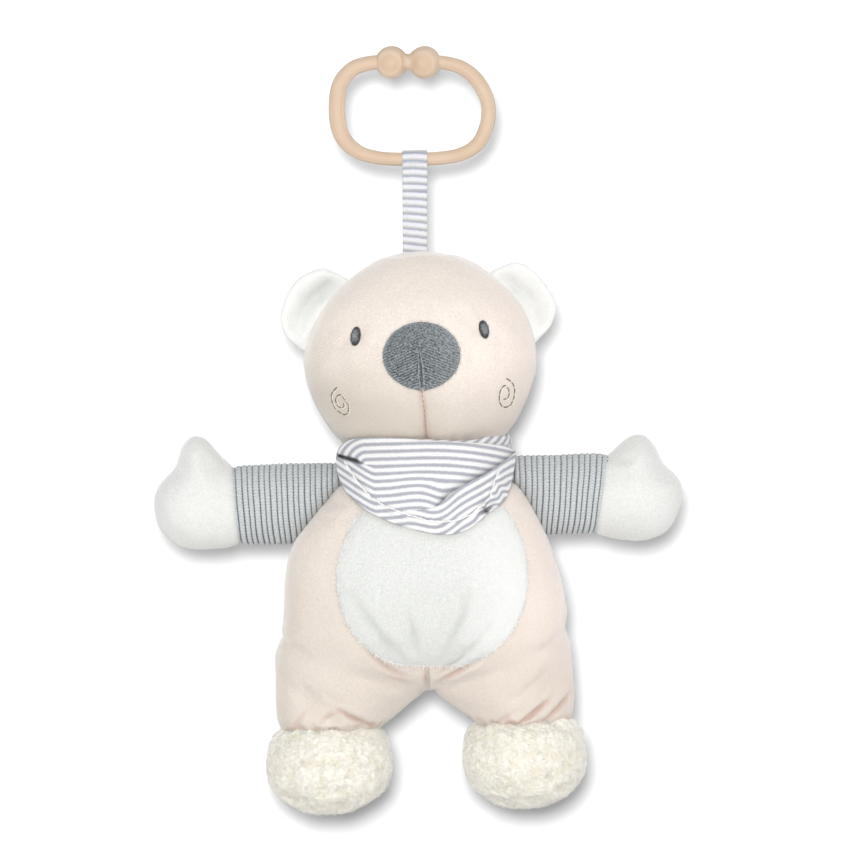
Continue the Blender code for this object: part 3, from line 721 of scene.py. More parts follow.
def nose_velour():
    """Dark velour whose nap lies in fine slanting rows on both sides of the seam, with a painted sheen on its rim
    and painted light on its right.
    """
    material, recipe, shader = finish("nose_velour", (0.2, 0.22, 0.23), 0.95, 0.25, specular=0.1)
    rest, x, _, z = recipe.rest()
    wander = recipe.times(recipe.noise(rest, 0.7, 3.0), 1.5)
    rows = recipe.waves(recipe.plus(z, recipe.times(recipe.math("ABSOLUTE", x), 0.42), wander), 1.1)
    fleck = recipe.noise(rest, 1.3, 4.0, 0.8)
    lines = recipe.times(rows, 0.30, recipe.spread(z, -100, -112))
    light = recipe.plus(lines, recipe.spread(fleck, 0.38, 0.64))
    # Painted sheen on the rim, and painted light towards the right.
    light = recipe.plus(light, recipe.spread(recipe.kept("share"), 0.85, 1.0, 0, 0.25))
    light = recipe.plus(light, recipe.spread(x, 2, 15, 0, 0.22), clamp=True)
    colour = recipe.mix(light, (0.052, 0.063, 0.067), (0.325, 0.355, 0.37))
    coat(recipe, shader, colour, recipe.plus(fleck, recipe.times(lines, 1.6)), 0.8, 0.35)
    return material


def rib_knit():
    """Ribbed cuff knit, its loops in fine rows, with painted shade down between the ribs."""
    material, recipe, shader = finish("rib_knit", (0.55, 0.58, 0.59), 0.95, 0.15, specular=0.1)
    rest, _, _, z = recipe.rest()
    fleck = recipe.noise(rest, 2.0, 3.0, 0.7)
    side = recipe.math("ABSOLUTE", recipe.off(recipe.math("FRACT", recipe.kept("across")), 0.5))
    wander = recipe.times(recipe.noise(rest, 0.5), 1.2)
    twist = recipe.waves(recipe.plus(z, wander, recipe.times(side, 1.3)), 1.15)
    grain = recipe.plus(recipe.spread(fleck, 0.35, 0.65, 0, 0.55), recipe.spread(twist, -1, 1, 0, 0.45))
    face = recipe.mix(grain, (0.50, 0.53, 0.545), (0.82, 0.855, 0.865))
    ragged = recipe.plus(recipe.kept("rib"), recipe.times(recipe.off(fleck, 0.5), 0.45), recipe.times(twist, 0.06))
    # Painted shade: dark down in the grooves between the ribs.
    colour = recipe.mix(recipe.spread(ragged, 0.22, 0.80), (0.15, 0.16, 0.175), face)
    coat(recipe, shader, colour, recipe.group(KNIT, Pitch=0.7, Slant=0.9)["Height"], 0.8, 0.2)
    return material


def link_plastic():
    """Beige moulded plastic with a soft gloss and faint flow marks."""
    material, recipe, shader = finish("link_plastic", (0.76, 0.565, 0.40), 0.55, specular=0.28)
    rest = recipe.rest()[0]
    grain = recipe.noise(rest, 1.6)
    marks = recipe.spread(recipe.noise(rest, 0.12, 3.0), 0.38, 0.66)
    colour = recipe.mix(marks, (0.615, 0.485, 0.37), (0.585, 0.45, 0.34))
    # Painted shade where dish is marked: inside each ball's dish and along the grooves beside the tube's ridges.
    colour = recipe.mix(recipe.times(recipe.kept("dish"), 0.5), colour, (0.55, 0.40, 0.27))
    coat(recipe, shader, colour, grain, 0.12, 0.03)
    into = {
        "Roughness": recipe.spread(grain, 0.3, 0.7, 0.50, 0.62),
        "Subsurface Weight": 0.12,
        "Subsurface Radius": (0.004, 0.002, 0.001),
        "Subsurface Scale": 0.5,
    }
    recipe.feed(shader, into)
    return material


PINK_VELOUR = pile_cloth(
    "pink_velour", (0.855, 0.783, 0.722), (0.64, 0.57, 0.505), 1.1, 0.55, 0.1, 0.6, 0.5, nap_rows_painted_light_and_shade
)
WHITE_VELOUR = pile_cloth(
    "white_velour", (0.76, 0.765, 0.75), (0.60, 0.605, 0.575), 1.0, 0.6, 0.2, 0.6, 0.5, painted_shade_in_folds
)
# Painted light: a lighter copy of the white velour, for the ears.
EAR_VELOUR_PAINTED_LIGHTER = pile_cloth(
    "ear_velour", (0.805, 0.81, 0.80), (0.70, 0.705, 0.68), 1.0, 0.5, 0.2, 0.6, 0.5, painted_shade_in_folds
)
BELLY_PLUSH = pile_cloth(
    "belly_plush", (0.77, 0.78, 0.76), (0.57, 0.58, 0.56), 0.78, 0.72, 0.1, 0.5, 0.6, belly_painted_light_and_shade
)
# Painted light: fibres drawn lighter than the plush they grow from, lifting the shade at the patch's rim.
BELLY_FIBRE_PAINTED_LIGHTER = pile_cloth("belly_fibre", (0.93, 0.93, 0.91), (0.88, 0.88, 0.86), 3.0, 0.2, 0.1, 0.3, 0.1)
FLEECE = pile_cloth("cream_fleece", (0.88, 0.86, 0.80), (0.78, 0.745, 0.65), 1.0, 0.6, 0.1, 0.8, 0.7, painted_shade_between_curls)
FLEECE_FIBRE = pile_cloth("fleece_fibre", (0.91, 0.89, 0.84), (0.86, 0.83, 0.76), 3.0, 0.3, 0.1, 0.8, 0.1)
JERSEY = striped("striped_jersey", (0.78, 0.775, 0.775), (0.35, 0.36, 0.41), 2.96, 0.46, 0.10)
OLIVE_EDGE = (0.50, 0.51, 0.385)
RIBBON = striped("striped_ribbon", (0.70, 0.70, 0.745), (0.345, 0.365, 0.43), 3.0, 0.34, 0.08, OLIVE_EDGE, 0.6)
NOSE = nose_velour()
RIB = rib_knit()
PLASTIC = link_plastic()
EYE = satin_eye()
OLIVE = threaded("olive_thread", (0.12, 0.12, 0.07), (0.32, 0.32, 0.24))
ROSE = threaded("rose_thread", (0.33, 0.20, 0.165), (0.52, 0.37, 0.32))
PALE = threaded("pale_thread", (0.86, 0.86, 0.84), (0.95, 0.95, 0.93))
GREY = threaded("grey_thread", (0.22, 0.24, 0.25), (0.44, 0.46, 0.47))
NOSE_FIBRE = threaded("nose_fibre", (0.10, 0.115, 0.12), (0.33, 0.36, 0.36), 0.9)
# Painted highlight: a pale thread laid beside each cheek spiral.
PAINTED_HIGHLIGHT_THREAD = threaded("swirl_painted_highlight_thread", (0.86, 0.79, 0.72), (0.94, 0.88, 0.82))
TACK = threaded("pale_tack_thread", (0.36, 0.37, 0.43), (0.70, 0.71, 0.75))
DARK = threaded("tack_thread", (0.08, 0.085, 0.10), (0.24, 0.25, 0.27))


# Link ring and ribbon
RING_DEPTH = -2.2
RING_TUBE = 3.05
# The tube's middle x and z and its half width, from one ball to the other
RING_ROUTE = (
    (5.1, 6.6, 2.7), (12.1, 6.3, 2.7), (19, 4.4, 2.8), (24.6, 0.2, 2.9), (28.5, -6, 2.9), (30.2, -12.6, 2.9),
    (28.7, -20.9, 2.9), (24.6, -27.3, 2.8), (17.8, -30.8, 2.7), (8.9, -31.9, 2.65), (-2, -31.9, 2.6),
    (-13.5, -31.2, 2.65), (-21.9, -28.7, 2.8), (-27.4, -24, 3.1), (-30, -17.7, 3.25), (-30.4, -9, 3.3),
    (-29, -1.5, 3.2), (-25.4, 3.4, 3.1), (-20.9, 6, 3), (-14.2, 7.1, 2.9), (-8.1, 7, 2.8),
)
BALL_RADIUS = 6.5
BALLS = ((-8.1, 7.0), (5.1, 6.6))


def make_ring():
    """A flattened tube with moulded ridges, and a ball with a shallow dish at each end."""
    rows = smooth_curve(RING_ROUTE, 170)
    route = np.stack([rows[:, 0], np.full(len(rows), RING_DEPTH), rows[:, 1]], 1)
    ahead = np.gradient(route, axis=0)
    ahead /= np.linalg.norm(ahead, axis=1, keepdims=True)
    front = np.array([0.0, -1.0, 0.0])
    side = np.cross(ahead, front)
    side /= np.linalg.norm(side, axis=1, keepdims=True)
    around = 72
    c, d = section(around, 2.35)
    d += np.sign(d) * (0.035 * bell(c, 0.13) - 0.03 * bell(np.abs(c) - 0.52, 0.07))
    places = []
    for point, s, wide in zip(route, side, rows[:, 2]):
        places.append(point + wide * c[:, None] * s + RING_TUBE * d[:, None] * front)
    tube = built("ring_tube", np.vstack(places), tube_faces(len(route), around), PLASTIC)
    # Painted shade along the grooves beside the moulded ridges, marked as dish.
    lines = 1.6 * bell(np.abs(c) - 0.52, 0.09) + 1.1 * bell(np.abs(c) - 0.16, 0.07)
    mark(tube, "dish", np.tile(lines, len(route)))
    (left_x, left_z), (right_x, right_z) = BALLS
    x, z = (left_x + right_x) / 2, (left_z + right_z) / 2
    neck = [
        (x + t, RING_DEPTH, z - 0.03 * t, 3.25 + 0.4 * t * t, 4.6 + 0.3 * t * t) for t in np.linspace(-2, 2, 9)
    ]
    snap = built("ring_snap", *lofted(neck, run="x", rings=24, around=48, square=2.0), PLASTIC)
    dish = np.array([-0.17, -0.96, -0.14])
    dish /= np.linalg.norm(dish)
    parts = [tube, snap]
    for name, (x, z) in zip(("left", "right"), BALLS):
        mesh = bpy.data.meshes.new("ball")
        work = bmesh.new()
        bmesh.ops.create_icosphere(work, subdivisions=5, radius=1)
        pressed = []
        for vertex in work.verts:
            off = math.acos(max(-1, min(1, vertex.co.normalized().dot(Vector(dish)))))
            press = 0.55 / (1 + math.exp((off - 0.72) / 0.05))
            rim = 0.10 * bell(off - 0.86, 0.07)
            pressed.append(1 / (1 + math.exp((off - 0.70) / 0.06)))
            vertex.co *= BALL_RADIUS - press + rim
            vertex.co += Vector((x, RING_DEPTH, z))
            vertex.co *= MM
        work.to_mesh(mesh)
        work.free()
        mesh.shade_smooth()
        parts.append(linked(f"ring_ball_{name}", mesh, PLASTIC))
        # Painted shade inside the dish.
        mark(parts[-1], "dish", pressed)
    for part in parts:
        settle(part, "link_plastic", "ring")
    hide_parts("link_ring")


def make_ribbon():
    """A ribbon looped over the ring, tacked shut, its two layers running down into the head."""
    bar_z, bar, below_bar, tack, foot = -31.9, 3.4, -34.0, -44.7, -73
    turns = np.radians(np.linspace(-38, 218, 34))
    loop = [(-bar * math.cos(a), bar_z + bar * math.sin(a)) for a in turns]
    narrow = np.linspace(0.12, 1, 12)
    closing = [(-0.55 - 2.9 * (1 - t) ** 1.6, below_bar + (tack - below_bar) * t) for t in narrow]
    closed = [(-0.55, tack + (foot - tack) * t) for t in np.linspace(0.05, 1, 24)]
    front = np.array(loop[len(loop) // 2 :][::-1] + closing + closed)
    back = (front * (-1, 1))[::-1]
    route = np.vstack([back[:-1], front])
    along = np.concatenate([[0], np.cumsum(np.linalg.norm(np.diff(route, axis=0), axis=1))])
    even = np.linspace(0, along[-1], 150)
    y, z = (np.interp(even, along, route[:, k]) for k in (0, 1))
    columns = np.linspace(-1, 1, 15)
    places, stripe = [], []
    for yy, zz in zip(y, z):
        down = np.clip((-zz - 30) / 38, 0, 1)
        width = 5.0 - 0.15 * down
        shift = 0.17 - 1.02 * down
        for c in columns:
            places.append((shift + c * width, RING_DEPTH + yy, zz))
            stripe.append(zz + 1.46 + (0.035 + 0.115 * down) * c * width - 0.3 * (1 - down) * (1 - c * c))
    ribbon = built("ribbon", places, grid_faces(len(even), len(columns)), RIBBON)
    mark(ribbon, "stripe", stripe)
    keep_rest(ribbon)
    thickened(ribbon, 0.45)
    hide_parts("ribbon_loop", "ribbon_tail")
    bend = ((0, RING_DEPTH, RIBBON_LEVEL + far) for far in (1.5, -1.5))
    blended(ribbon, "strap", "head", *bend)

    runs, steps, half, y = [], 26, 4.7, RING_DEPTH - 0.95
    for k in range(steps):
        x0, x1 = (-half + 2 * half * i / steps for i in (k, k + 1))
        a, b = (tack - 0.35, tack + 0.65)[:: 1 if k % 2 == 0 else -1]
        runs.append([(x0, y, a), ((x0 + x1) / 2, y - 0.12, (a + b) / 2), (x1, y, b)])
    sewn("bar_tack_stitches", runs, 0.17, TACK, "dark_thread", "strap", "bar_tack")

    runs = []
    for high in np.arange(-47.4, -63.0, -1.5):
        x = -3.6 - 0.016 * (-high - 47)
        runs.append([(x, RING_DEPTH - 0.80 - 0.12 * t * (1 - t), high - 1.05 * t) for t in (0.0, 0.5, 1.0)])
    sewn("ribbon_edge_stitches", runs, 0.12, TACK, "striped_ribbon", "head")


# Head
HEAD = (
    (1, 0.5, -68.4, 3, 3), (1, 0.3, -70.2, 11.5, 10), (1, 0, -74, 20.3, 17), (1.1, -0.8, -79.1, 27.6, 23),
    (0.9, -1.8, -87.2, 36, 29.5), (0.9, -2.6, -95.4, 41.4, 33.6), (0.4, -3, -104, 44.7, 36),
    (0, -3.2, -112.3, 45.9, 36.8), (0, -3.2, -119, 45, 36.2), (-0.1, -3.2, -125.6, 43, 34.6),
    (0.2, -2.8, -134.8, 38.6, 30.6), (0.3, -2.2, -142.4, 33.4, 26.5), (0.2, -1, -148.5, 26, 21),
    (0, -0.5, -152, 18, 15), (0, -0.5, -153.5, 8, 7),
)
NOSE_MIDDLE = (0.6, -110.6)
NOSE_PINCH = (-0.2, -109.4)
MUZZLE_PATH = ((0.3, -124), (0.7, -129), (1.1, -134), (1.6, -139), (1.9, -144.5), (1.9, -149))
HEAD_BACK_SEAM = ((0, -72), (0.3, -100), (0, -125), (0, -150))
# Each eye: middle x and z, half width, half height, lean in degrees
EYES = (("left", -25.5, -102.0, 1.95, 3.85, 9), ("right", 25.8, -100.7, 1.9, 3.75, -13))
SPIRALS = {
    "left": (
        (-33.5, -122), (-35.7, -124.7), (-35.6, -127.5), (-34.1, -130.8), (-31, -133.1), (-29.4, -132.2),
        (-29.2, -129.2), (-30.6, -127), (-32.2, -125.2), (-33.9, -126.1), (-34.1, -128), (-33, -129.8),
        (-31.8, -130.3), (-30.9, -129.6), (-31.4, -127.9),
    ),
    "right": (
        (34.2, -120.4), (36.4, -122.2), (37.4, -125), (36.7, -129), (34.9, -131.6), (32.5, -131.7),
        (31.2, -129.3), (31.6, -125.7), (33.2, -123.4), (34.5, -124), (35.2, -126.2), (34.4, -128.4),
        (33, -128.8),
    ),
}


def make_head():
    """The head's one velour skin, with its muzzle seam, and the nose, eyes and cheeks on it."""
    skin = one_skin("head_skin", [lofted(HEAD, rings=60, around=90, square=2.05)], 2.6, 4)
    places, out = places_of(skin), normals_of(skin)
    muzzle = bell(places[:, 0] - 0.5, 17) * bell(places[:, 2] + 114, 17)
    move_to(skin, places + out * (2.2 * muzzle * (out[:, 1] < 0))[:, None])

    def held(p):
        far, _ = off_line(p, MUZZLE_PATH)
        seam = (far < 1.6) & (p[:, 1] < 0)
        eyes = np.zeros(len(p), bool)
        for _, x, z, _, _, _ in EYES:
            eyes |= (np.hypot(p[:, 0] - x, p[:, 2] - z) < 3) & (p[:, 1] < 0)
        return seam | eyes | (p[:, 2] < -146) | (p[:, 2] > -71)

    filled_out(skin, held, swell=0.02, cap=1.2)
    subdivided(skin)
    # Creases, each with painted shade marked in it.
    crease(skin, MUZZLE_PATH, 4.0, 0.7, fade=0.3)
    crease(skin, MUZZLE_PATH, 0.9, 0.95, fade=0.05)
    for _, x, z, _, _, _ in EYES:
        crease(skin, ((x, z - 3), (x, z + 3)), 4.0, 0.9, fade=0.5)
    crease(skin, (NOSE_PINCH, (0.4, -123.5)), 2.2, 0.8, fade=0.4)
    crease(skin, HEAD_BACK_SEAM, 0.9, 0.6, front=False, fade=0.06)
    uneven(skin, (0.35, 14, 3.0), (0.10, 4, 8.0))
    skin.data.materials.append(PINK_VELOUR)
    settle(skin, "pink_velour", "head", "head_cover", "head_filling", fill=0.9)
    front = Front(skin)
    make_nose(front)
    make_eyes(front)
    make_cheeks(front)


def make_nose(front):
    """A velour oval gathered to a pinch in its middle, with a double seam down from there."""
    outline = oval(*NOSE_MIDDLE, 15.5, 13.6, 120, low=0.93)
    seam = (NOSE_PINCH, (0.2, -116.0), (0.5, -124.5))

    def height(place, share):
        dome = 1.5 * math.sqrt(max(0.0, 1 - share**6)) + 0.9 * (1 - share**2)
        x, z = in_picture(np.array([place]))[0] - NOSE_PINCH
        far = math.hypot(x, z)
        pinch = 1.3 * bell(far, 2.6)
        spokes = 0.30 * math.cos(9 * math.atan2(z, x)) * bell(far - 3.5, 3.0)
        line, _ = off_line(np.array([place]), seam)
        groove = 1.0 * bell(line[0], 0.55) - 0.55 * bell(line[0] - 1.35, 0.75)
        return dome - pinch + spokes - groove * (z < 1)

    patch = laid("nose_patch_velour", front, outline, height, NOSE, rings=44, centre=NOSE_PINCH)
    settle(patch, "nose_velour", "head", "nose_patch", fill=0.5)
    surface = Front(patch)
    runs = []
    for off in (-0.85, 0.85):
        path = [(x + off, z) for x, z in seam]
        path[0] = (NOSE_PINCH[0] + off * 0.5, NOSE_PINCH[1] + 0.4)
        runs += stitches(surface, path, 2.1, 0.15, 0.10)
    for turn in (35, 150, 85, 120):
        reach, a = 2.4, math.radians(turn)
        end = (NOSE_PINCH[0] + reach * math.cos(a), NOSE_PINCH[1] + 0.6 * reach * math.sin(a))
        runs += stitches(surface, (NOSE_PINCH, end), reach, 0.2, 0.05)
    for run in runs:
        for point in run:
            point += 0.14 * np.array(noise.noise_vector(Vector(point) / 1.3))
    sewn("nose_seam_thread", runs, 0.30, GREY, "dark_thread", "head")
    rng = np.random.default_rng(3)
    runs = []
    for _ in range(420):
        edge = outline[rng.integers(len(outline))] + rng.normal(0, 0.16, 2)
        lean = (edge - NOSE_MIDDLE) / np.linalg.norm(edge - NOSE_MIDDLE) + rng.normal(0, 0.6, 2)
        skin, out = front.at(*edge)
        reach = rng.uniform(0.1, 0.32)
        lean = np.array([lean[0], 0.0, lean[1]])
        runs.append([skin + out * (0.7 - 0.4 * t) + lean * reach * t for t in (0.0, 0.5, 1.0)])
    sewn("nose_rim_fibres", runs, 0.075, NOSE_FIBRE, "nose_velour", "head", sides=3)
    runs = stitches(front, MUZZLE_PATH[:5], 1.7, 0.25, 0.06)
    sewn("muzzle_thread", runs, 0.17, ROSE, "olive_thread", "head", "muzzle_seam")


def make_eyes(front):
    """Two eyes in raised satin stitch, with single strands that break the edge."""

    def satin(place, share):
        return 0.15 + 0.65 * math.sqrt(max(0.0, 1 - share**3))

    strands, points, sides = 17, np.linspace(-1, 1, 7), 5
    for side, x, z, half_width, half_height, lean in EYES:
        lean = math.radians(lean)
        outline = oval(x, z, half_width, half_height, 48, lean)
        eye = laid(f"eye_satin_{side}", front, outline, satin, EYE, rings=14)
        settle(eye, "dark_thread", "head", f"eye_{side}")
        runs, shares = [], []
        for k in range(strands):
            up = (k / 16 * 2 - 1) * 0.93
            half = half_width * math.sqrt(1 - up * up) * (1.10 + 0.07 * math.sin(5.1 * k))
            run = []
            for t in points:
                skin, out = front.at(*leaning(x, z, t * half, up * half_height + 0.25 * t, lean))
                run.append(skin + out * (0.1 + 0.78 * math.sqrt(max(0.0, 1 - t * t * 0.98))))
                shares += [max(abs(t), abs(k / 8 - 1) ** 1.5)] * sides
            runs.append(run)
        over = thread(f"eye_strands_{side}", runs, 0.16, EYE, sides)
        # Where each strand takes the painted sheen, strongest in its middle.
        mark(over, "share", shares)
        settle(over, "dark_thread", "head")


def make_cheeks(front):
    """A spiral in running stitch on each cheek, with a pale thread beside it as a painted highlight."""
    for side, path in SPIRALS.items():
        # Painted highlight beside the spiral.
        highlight_runs = stitches(front, [(x + 0.42, z - 0.30) for x, z in path], 3.0, 0.1, 0.0, steps=9)
        sewn(f"cheek_swirl_painted_highlight_{side}", highlight_runs, 0.17, PAINTED_HIGHLIGHT_THREAD, "olive_thread", "head")
        runs = stitches(front, path, 2.4, 0.22, 0.07, steps=8)
        sewn(f"cheek_swirl_{side}", runs, 0.3, OLIVE, "olive_thread", "head", f"cheek_spiral_{side}")


# Ears
EARS = {
    "left": (
        (-27.5, -81), (-30, -77.8), (-32.7, -76.3), (-37.6, -74.6), (-41.7, -75.6), (-46.7, -77.7),
        (-50.4, -81.7), (-53.2, -86.1), (-55, -91.1), (-55.5, -94.7), (-54.7, -98.3), (-52.8, -102),
        (-49.3, -105.2), (-45.7, -107.4), (-41.5, -106), (-36, -100), (-30.5, -91),
    ),
    "right": (
        (28.2, -81.5), (29.4, -77.8), (33.3, -76), (39.5, -74.2), (45.6, -77), (50.1, -82.5), (53.7, -88.8),
        (54.7, -94.2), (52.7, -99.5), (48.7, -104.1), (45.4, -107.2), (41.5, -106), (36, -100), (31, -91),
    ),
}
EAR_VALLEYS = {
    "left": ((-29.5, -80), (-36.5, -81.5), (-43, -86.8), (-47.5, -93.5), (-50.5, -99.5)),
    "right": ((30.5, -79.5), (37, -82), (43, -88), (46.8, -95), (49, -100)),
}
EAR_MIDDLES = {"left": (-41.5, -91.0), "right": (41.3, -90.5)}
# How deeply each ear's valley is pressed in and how strongly it is painted with shade.
EAR_HOLLOWS = {"left": 1.0, "right": 0.6}


def make_ears():
    """Padded ears, dished in front, with a fold beside the root where they are sewn to the head."""
    across, up = 0.846, 0.533
    rings, around = 34, 110
    size = (rings + 1) * around
    for side, way in SIDES:
        middle = np.array(EAR_MIDDLES[side])
        strength = EAR_HOLLOWS[side]
        edge = rounded(EARS[side], around)
        places, faces = [], []
        for face in (-1, 1):
            for r in range(rings + 1):
                share = math.sin(math.pi / 2 * r / rings)
                flat = middle + (edge - middle) * share
                far, along = off_line(upright(flat), EAR_VALLEYS[side])
                low = flat @ (way * across, up) < np.interp(flat[:, 1], (-107, -76), (-6.5, -16.0))
                rim = math.sqrt(max(0.0, 1 - share**4))
                ends = np.clip(np.minimum(along * 5, (1 - along) * 2.2), 0, 1)
                dip = bell(far, 3.1) * rim * ends
                body = 2.6 * (1 - share**6) ** 0.5
                if face < 0:
                    y = -body - 1.0 + 1.0 * (1 - share**2) - 0.3 * bell(share - 0.84, 0.12)
                    y += 3.0 * strength * dip - 1.1 * bell(far - 5.0, 2.0) * rim * low
                else:
                    y = body + 1.2 * (1 - share**2) - 1.0
                places.append(upright(flat, y - 2.2 * share**2))
            start = size * (face > 0)
            faces += [tuple(i + start for i in f)[::face] for f in tube_faces(rings + 1, around, caps=False)]
        ear = built(f"ear_velour_{side}", np.vstack(places), faces)
        work = bmesh.new()
        work.from_mesh(ear.data)
        bmesh.ops.remove_doubles(work, verts=work.verts, dist=0.02 * MM)
        bmesh.ops.recalc_face_normals(work, faces=work.faces)
        work.to_mesh(ear.data)
        work.free()
        smooth = ear.modifiers.new("soften", "SMOOTH")
        smooth.factor = 0.5
        smooth.iterations = 3
        applied(ear)
        out = normals_of(ear)
        p = places_of(uneven(ear, (0.3, 8, 5.0 + way), (0.10, 3, 2.0)))
        # Painted shade: the valley beside the root is marked as fold, greyer in the material.
        far, along = off_line(p, EAR_VALLEYS[side])
        ends = np.clip(np.minimum(along * 4, (1 - along) * 1.6), 0, 1)
        ragged = 1 + 0.5 * lumps(p, 4, 1.0)
        mark(ear, "fold", 0.9 * strength * ends * ragged * bell(far, 3.2) * (out[:, 1] < 0))
        ear.data.materials.append(EAR_VELOUR_PAINTED_LIGHTER)
        settle(ear, "white_velour", None, f"ear_{side}", fill=0.4)
        hinge, toward = Vector((way * 39.4, -1.6, -89.7)), Vector((-way * across, 0, -up))
        blended(ear, "head", f"ear_{side}", hinge + toward * 2.0, hinge - toward * 2.5)


# Body and legs, in sections of middle x, y, z, half width and half depth
TORSO = (
    (0, 0, -152, 22, 19), (0.5, -0.5, -158, 29, 23), (1, -1, -165, 37.3, 26.5), (-0.4, -1.5, -175, 44.3, 29.5),
    (-1.9, -2, -185, 50.1, 31.5), (-2, -2, -197, 54, 32.3), (-0.8, -2, -210, 56.3, 33),
    (-1.5, -2, -222, 57.3, 32.5), (-1.5, -1.5, -232, 52, 29), (-1, -1, -239, 36, 22),
    (-0.9, -0.5, -243.6, 14, 12),
)
LEGS = {
    "left": (
        (-32, -1, -212, 20, 19), (-34, -1, -225, 27, 24.5), (-30.3, -1, -238, 31, 24),
        (-31.6, -1, -243.6, 29.9, 22.8), (-35, -1, -248.2, 26.5, 21.8), (-37.8, -1, -252.5, 23.3, 21),
        (-39.6, -1, -256.5, 20.8, 20), (-40, -1, -260, 18, 17), (-40.2, -1, -264, 12, 11),
    ),
    "right": (
        (30, -1, -212, 20, 19), (31, -1, -225, 26.3, 24.5), (27.8, -1, -238, 29.8, 24),
        (29.3, -1, -243.6, 28.2, 22.8), (32.4, -1, -248.2, 24.9, 21.8), (35, -1, -252.5, 21.7, 21),
        (36.6, -1, -256.5, 19.7, 20), (37, -1, -260, 17.5, 17), (37.1, -1, -264, 12, 11),
    ),
}
# Creases and folds: a path of (x, z), half width, depth
BODY_CREASES = (
    (((-1.5, -234), (-1.2, -240), (-0.9, -247)), 0.79, 1.02),
    (((-27, -226), (-19.5, -232.5), (-13, -237), (-8, -240)), 1.22, 1.27),
    (((-18, -238), (-12, -240.5), (-6, -242)), 0.86, 0.77),
    (((24, -230), (15, -235), (7, -240), (1, -243.5)), 1.08, 1.53),
    (((15, -229.5), (9, -234), (4, -238.5)), 0.86, 0.77),
    (((-38.5, -249.8), (-33, -253.6), (-28, -256), (-22.5, -258.6)), 0.94, 1.61),
    (((-45, -256.5), (-40.5, -253.5), (-36, -252)), 0.86, 0.85),
    (((-55, -258.5), (-52.5, -254), (-49, -250)), 0.94, 0.68),
    (((33.5, -259.8), (39.5, -256.2), (45, -251.8), (49, -248.5)), 0.86, 1.7),
    (((43.5, -259.8), (49, -255.5), (55, -249), (58.5, -245.5)), 1.01, 1.53),
    (((25, -259.5), (29.5, -256.2), (33, -255)), 0.86, 0.77),
)
BELLY_FOLDS = (
    (((-31, -203), (-25, -213), (-18.5, -222), (-14.5, -229.5)), 2.4, 0.75),
    (((-8.2, -210), (-6, -220), (-3.2, -234.4)), 2.1, 0.55),
    (((17.5, -203), (14.8, -214), (9.5, -224), (3.5, -233.6)), 2.3, 0.75),
    (((27, -216), (20, -225), (12.5, -233)), 2, 0.3),
    (((-20, -221), (-12, -228), (-7.5, -234)), 2, 0.3),
)
ANKLES = {"left": -40.0, "right": 37.0}
ANKLE_LEVEL = -258.0
HEMS = {"left": -256.9, "right": -256.1}
BACK_SEAM = ((0, -150), (-0.4, -180), (-0.8, -210), (-0.9, -246))


def make_body():
    """One stuffed velour skin for the body and both legs."""
    forms = [lofted(TORSO, rings=44, around=80, square=2.5), lofted(LEGS["left"]), lofted(LEGS["right"])]
    skin = one_skin("body_skin", forms, 2.3, 5)

    def held(p):
        crotch, _ = off_line(p, BODY_CREASES[0][0])
        return (p[:, 2] > -158) | (p[:, 2] < -256) | (crotch < 2.2)

    filled_out(skin, held, swell=0.03, cap=1.4)
    subdivided(skin)
    # Creases and folds, each with painted shade marked in it.
    for path, width, depth in BODY_CREASES + BELLY_FOLDS:
        crease(skin, path, width, depth, fade=0.45)
    crease(skin, BACK_SEAM, 1.0, 0.7, front=False, fade=0.04)
    out = normals_of(skin)
    places = places_of(uneven(skin, (0.5, 17, 1.0), (0.13, 5, 4.0)))
    ankle = bell(places[:, 2] - ANKLE_LEVEL, 3.5)
    on_left = places[:, 0] < 0
    turn = np.arctan2(places[:, 1], places[:, 0] - np.where(on_left, ANKLES["left"], ANKLES["right"]))
    pucker = np.sin(15 * turn + 2 * np.sin(3 * turn))
    places += out * (ankle * (0.45 * pucker + 0.5 * lumps(places, 3.5, 12.0)))[:, None]
    move_to(skin, places)
    # Painted shadow: a ragged dark line, marked as fold, where the leg's hem overlaps the fleece.
    hem = np.where(on_left, HEMS["left"], HEMS["right"]) + 1.6 * lumps(places, 5, 6.0)
    patchy = np.clip(0.9 + 3.5 * lumps(places, 6, 9.0), 0, 1.6)
    line = bell(places[:, 2] - hem, 1.0) * (out[:, 1] < -0.2)
    mark(skin, "fold", marked(skin, "fold") + patchy * line)
    keep_rest(skin)
    for side, way in SIDES:
        half = skin.data.copy()
        work = bmesh.new()
        work.from_mesh(half)
        plane = {"plane_co": (-way * 0.3 * MM, 0, 0), "plane_no": (-way, 0, 0)}
        bmesh.ops.bisect_plane(work, geom=work.verts[:] + work.edges[:] + work.faces[:], clear_outer=True, **plane)
        work.to_mesh(half)
        work.free()
        half.shade_smooth()
        part = linked(f"body_velour_{side}", half, PINK_VELOUR)
        nodes = [f"leg_cover_{side}", f"leg_filling_{side}"]
        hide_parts(*nodes, *(["body_cover", "body_filling"] if side == "left" else []))
        blended(part, "torso", f"leg_{side}", (way * 8, 0, -237.5), (way * 30, 0, -262))
    front = Front(skin)
    bpy.data.objects.remove(skin)
    return front


def make_neck():
    """A short velour neck between the head and the body."""
    rows = [(0.0, -0.8, z, 21.0, 17.5) for z in range(-145, -161, -3)]
    neck = built("neck_velour", *lofted(rows, rings=12, around=48), PINK_VELOUR)
    settle(neck, "pink_velour", "neck", "neck_filling", fill=0.8)


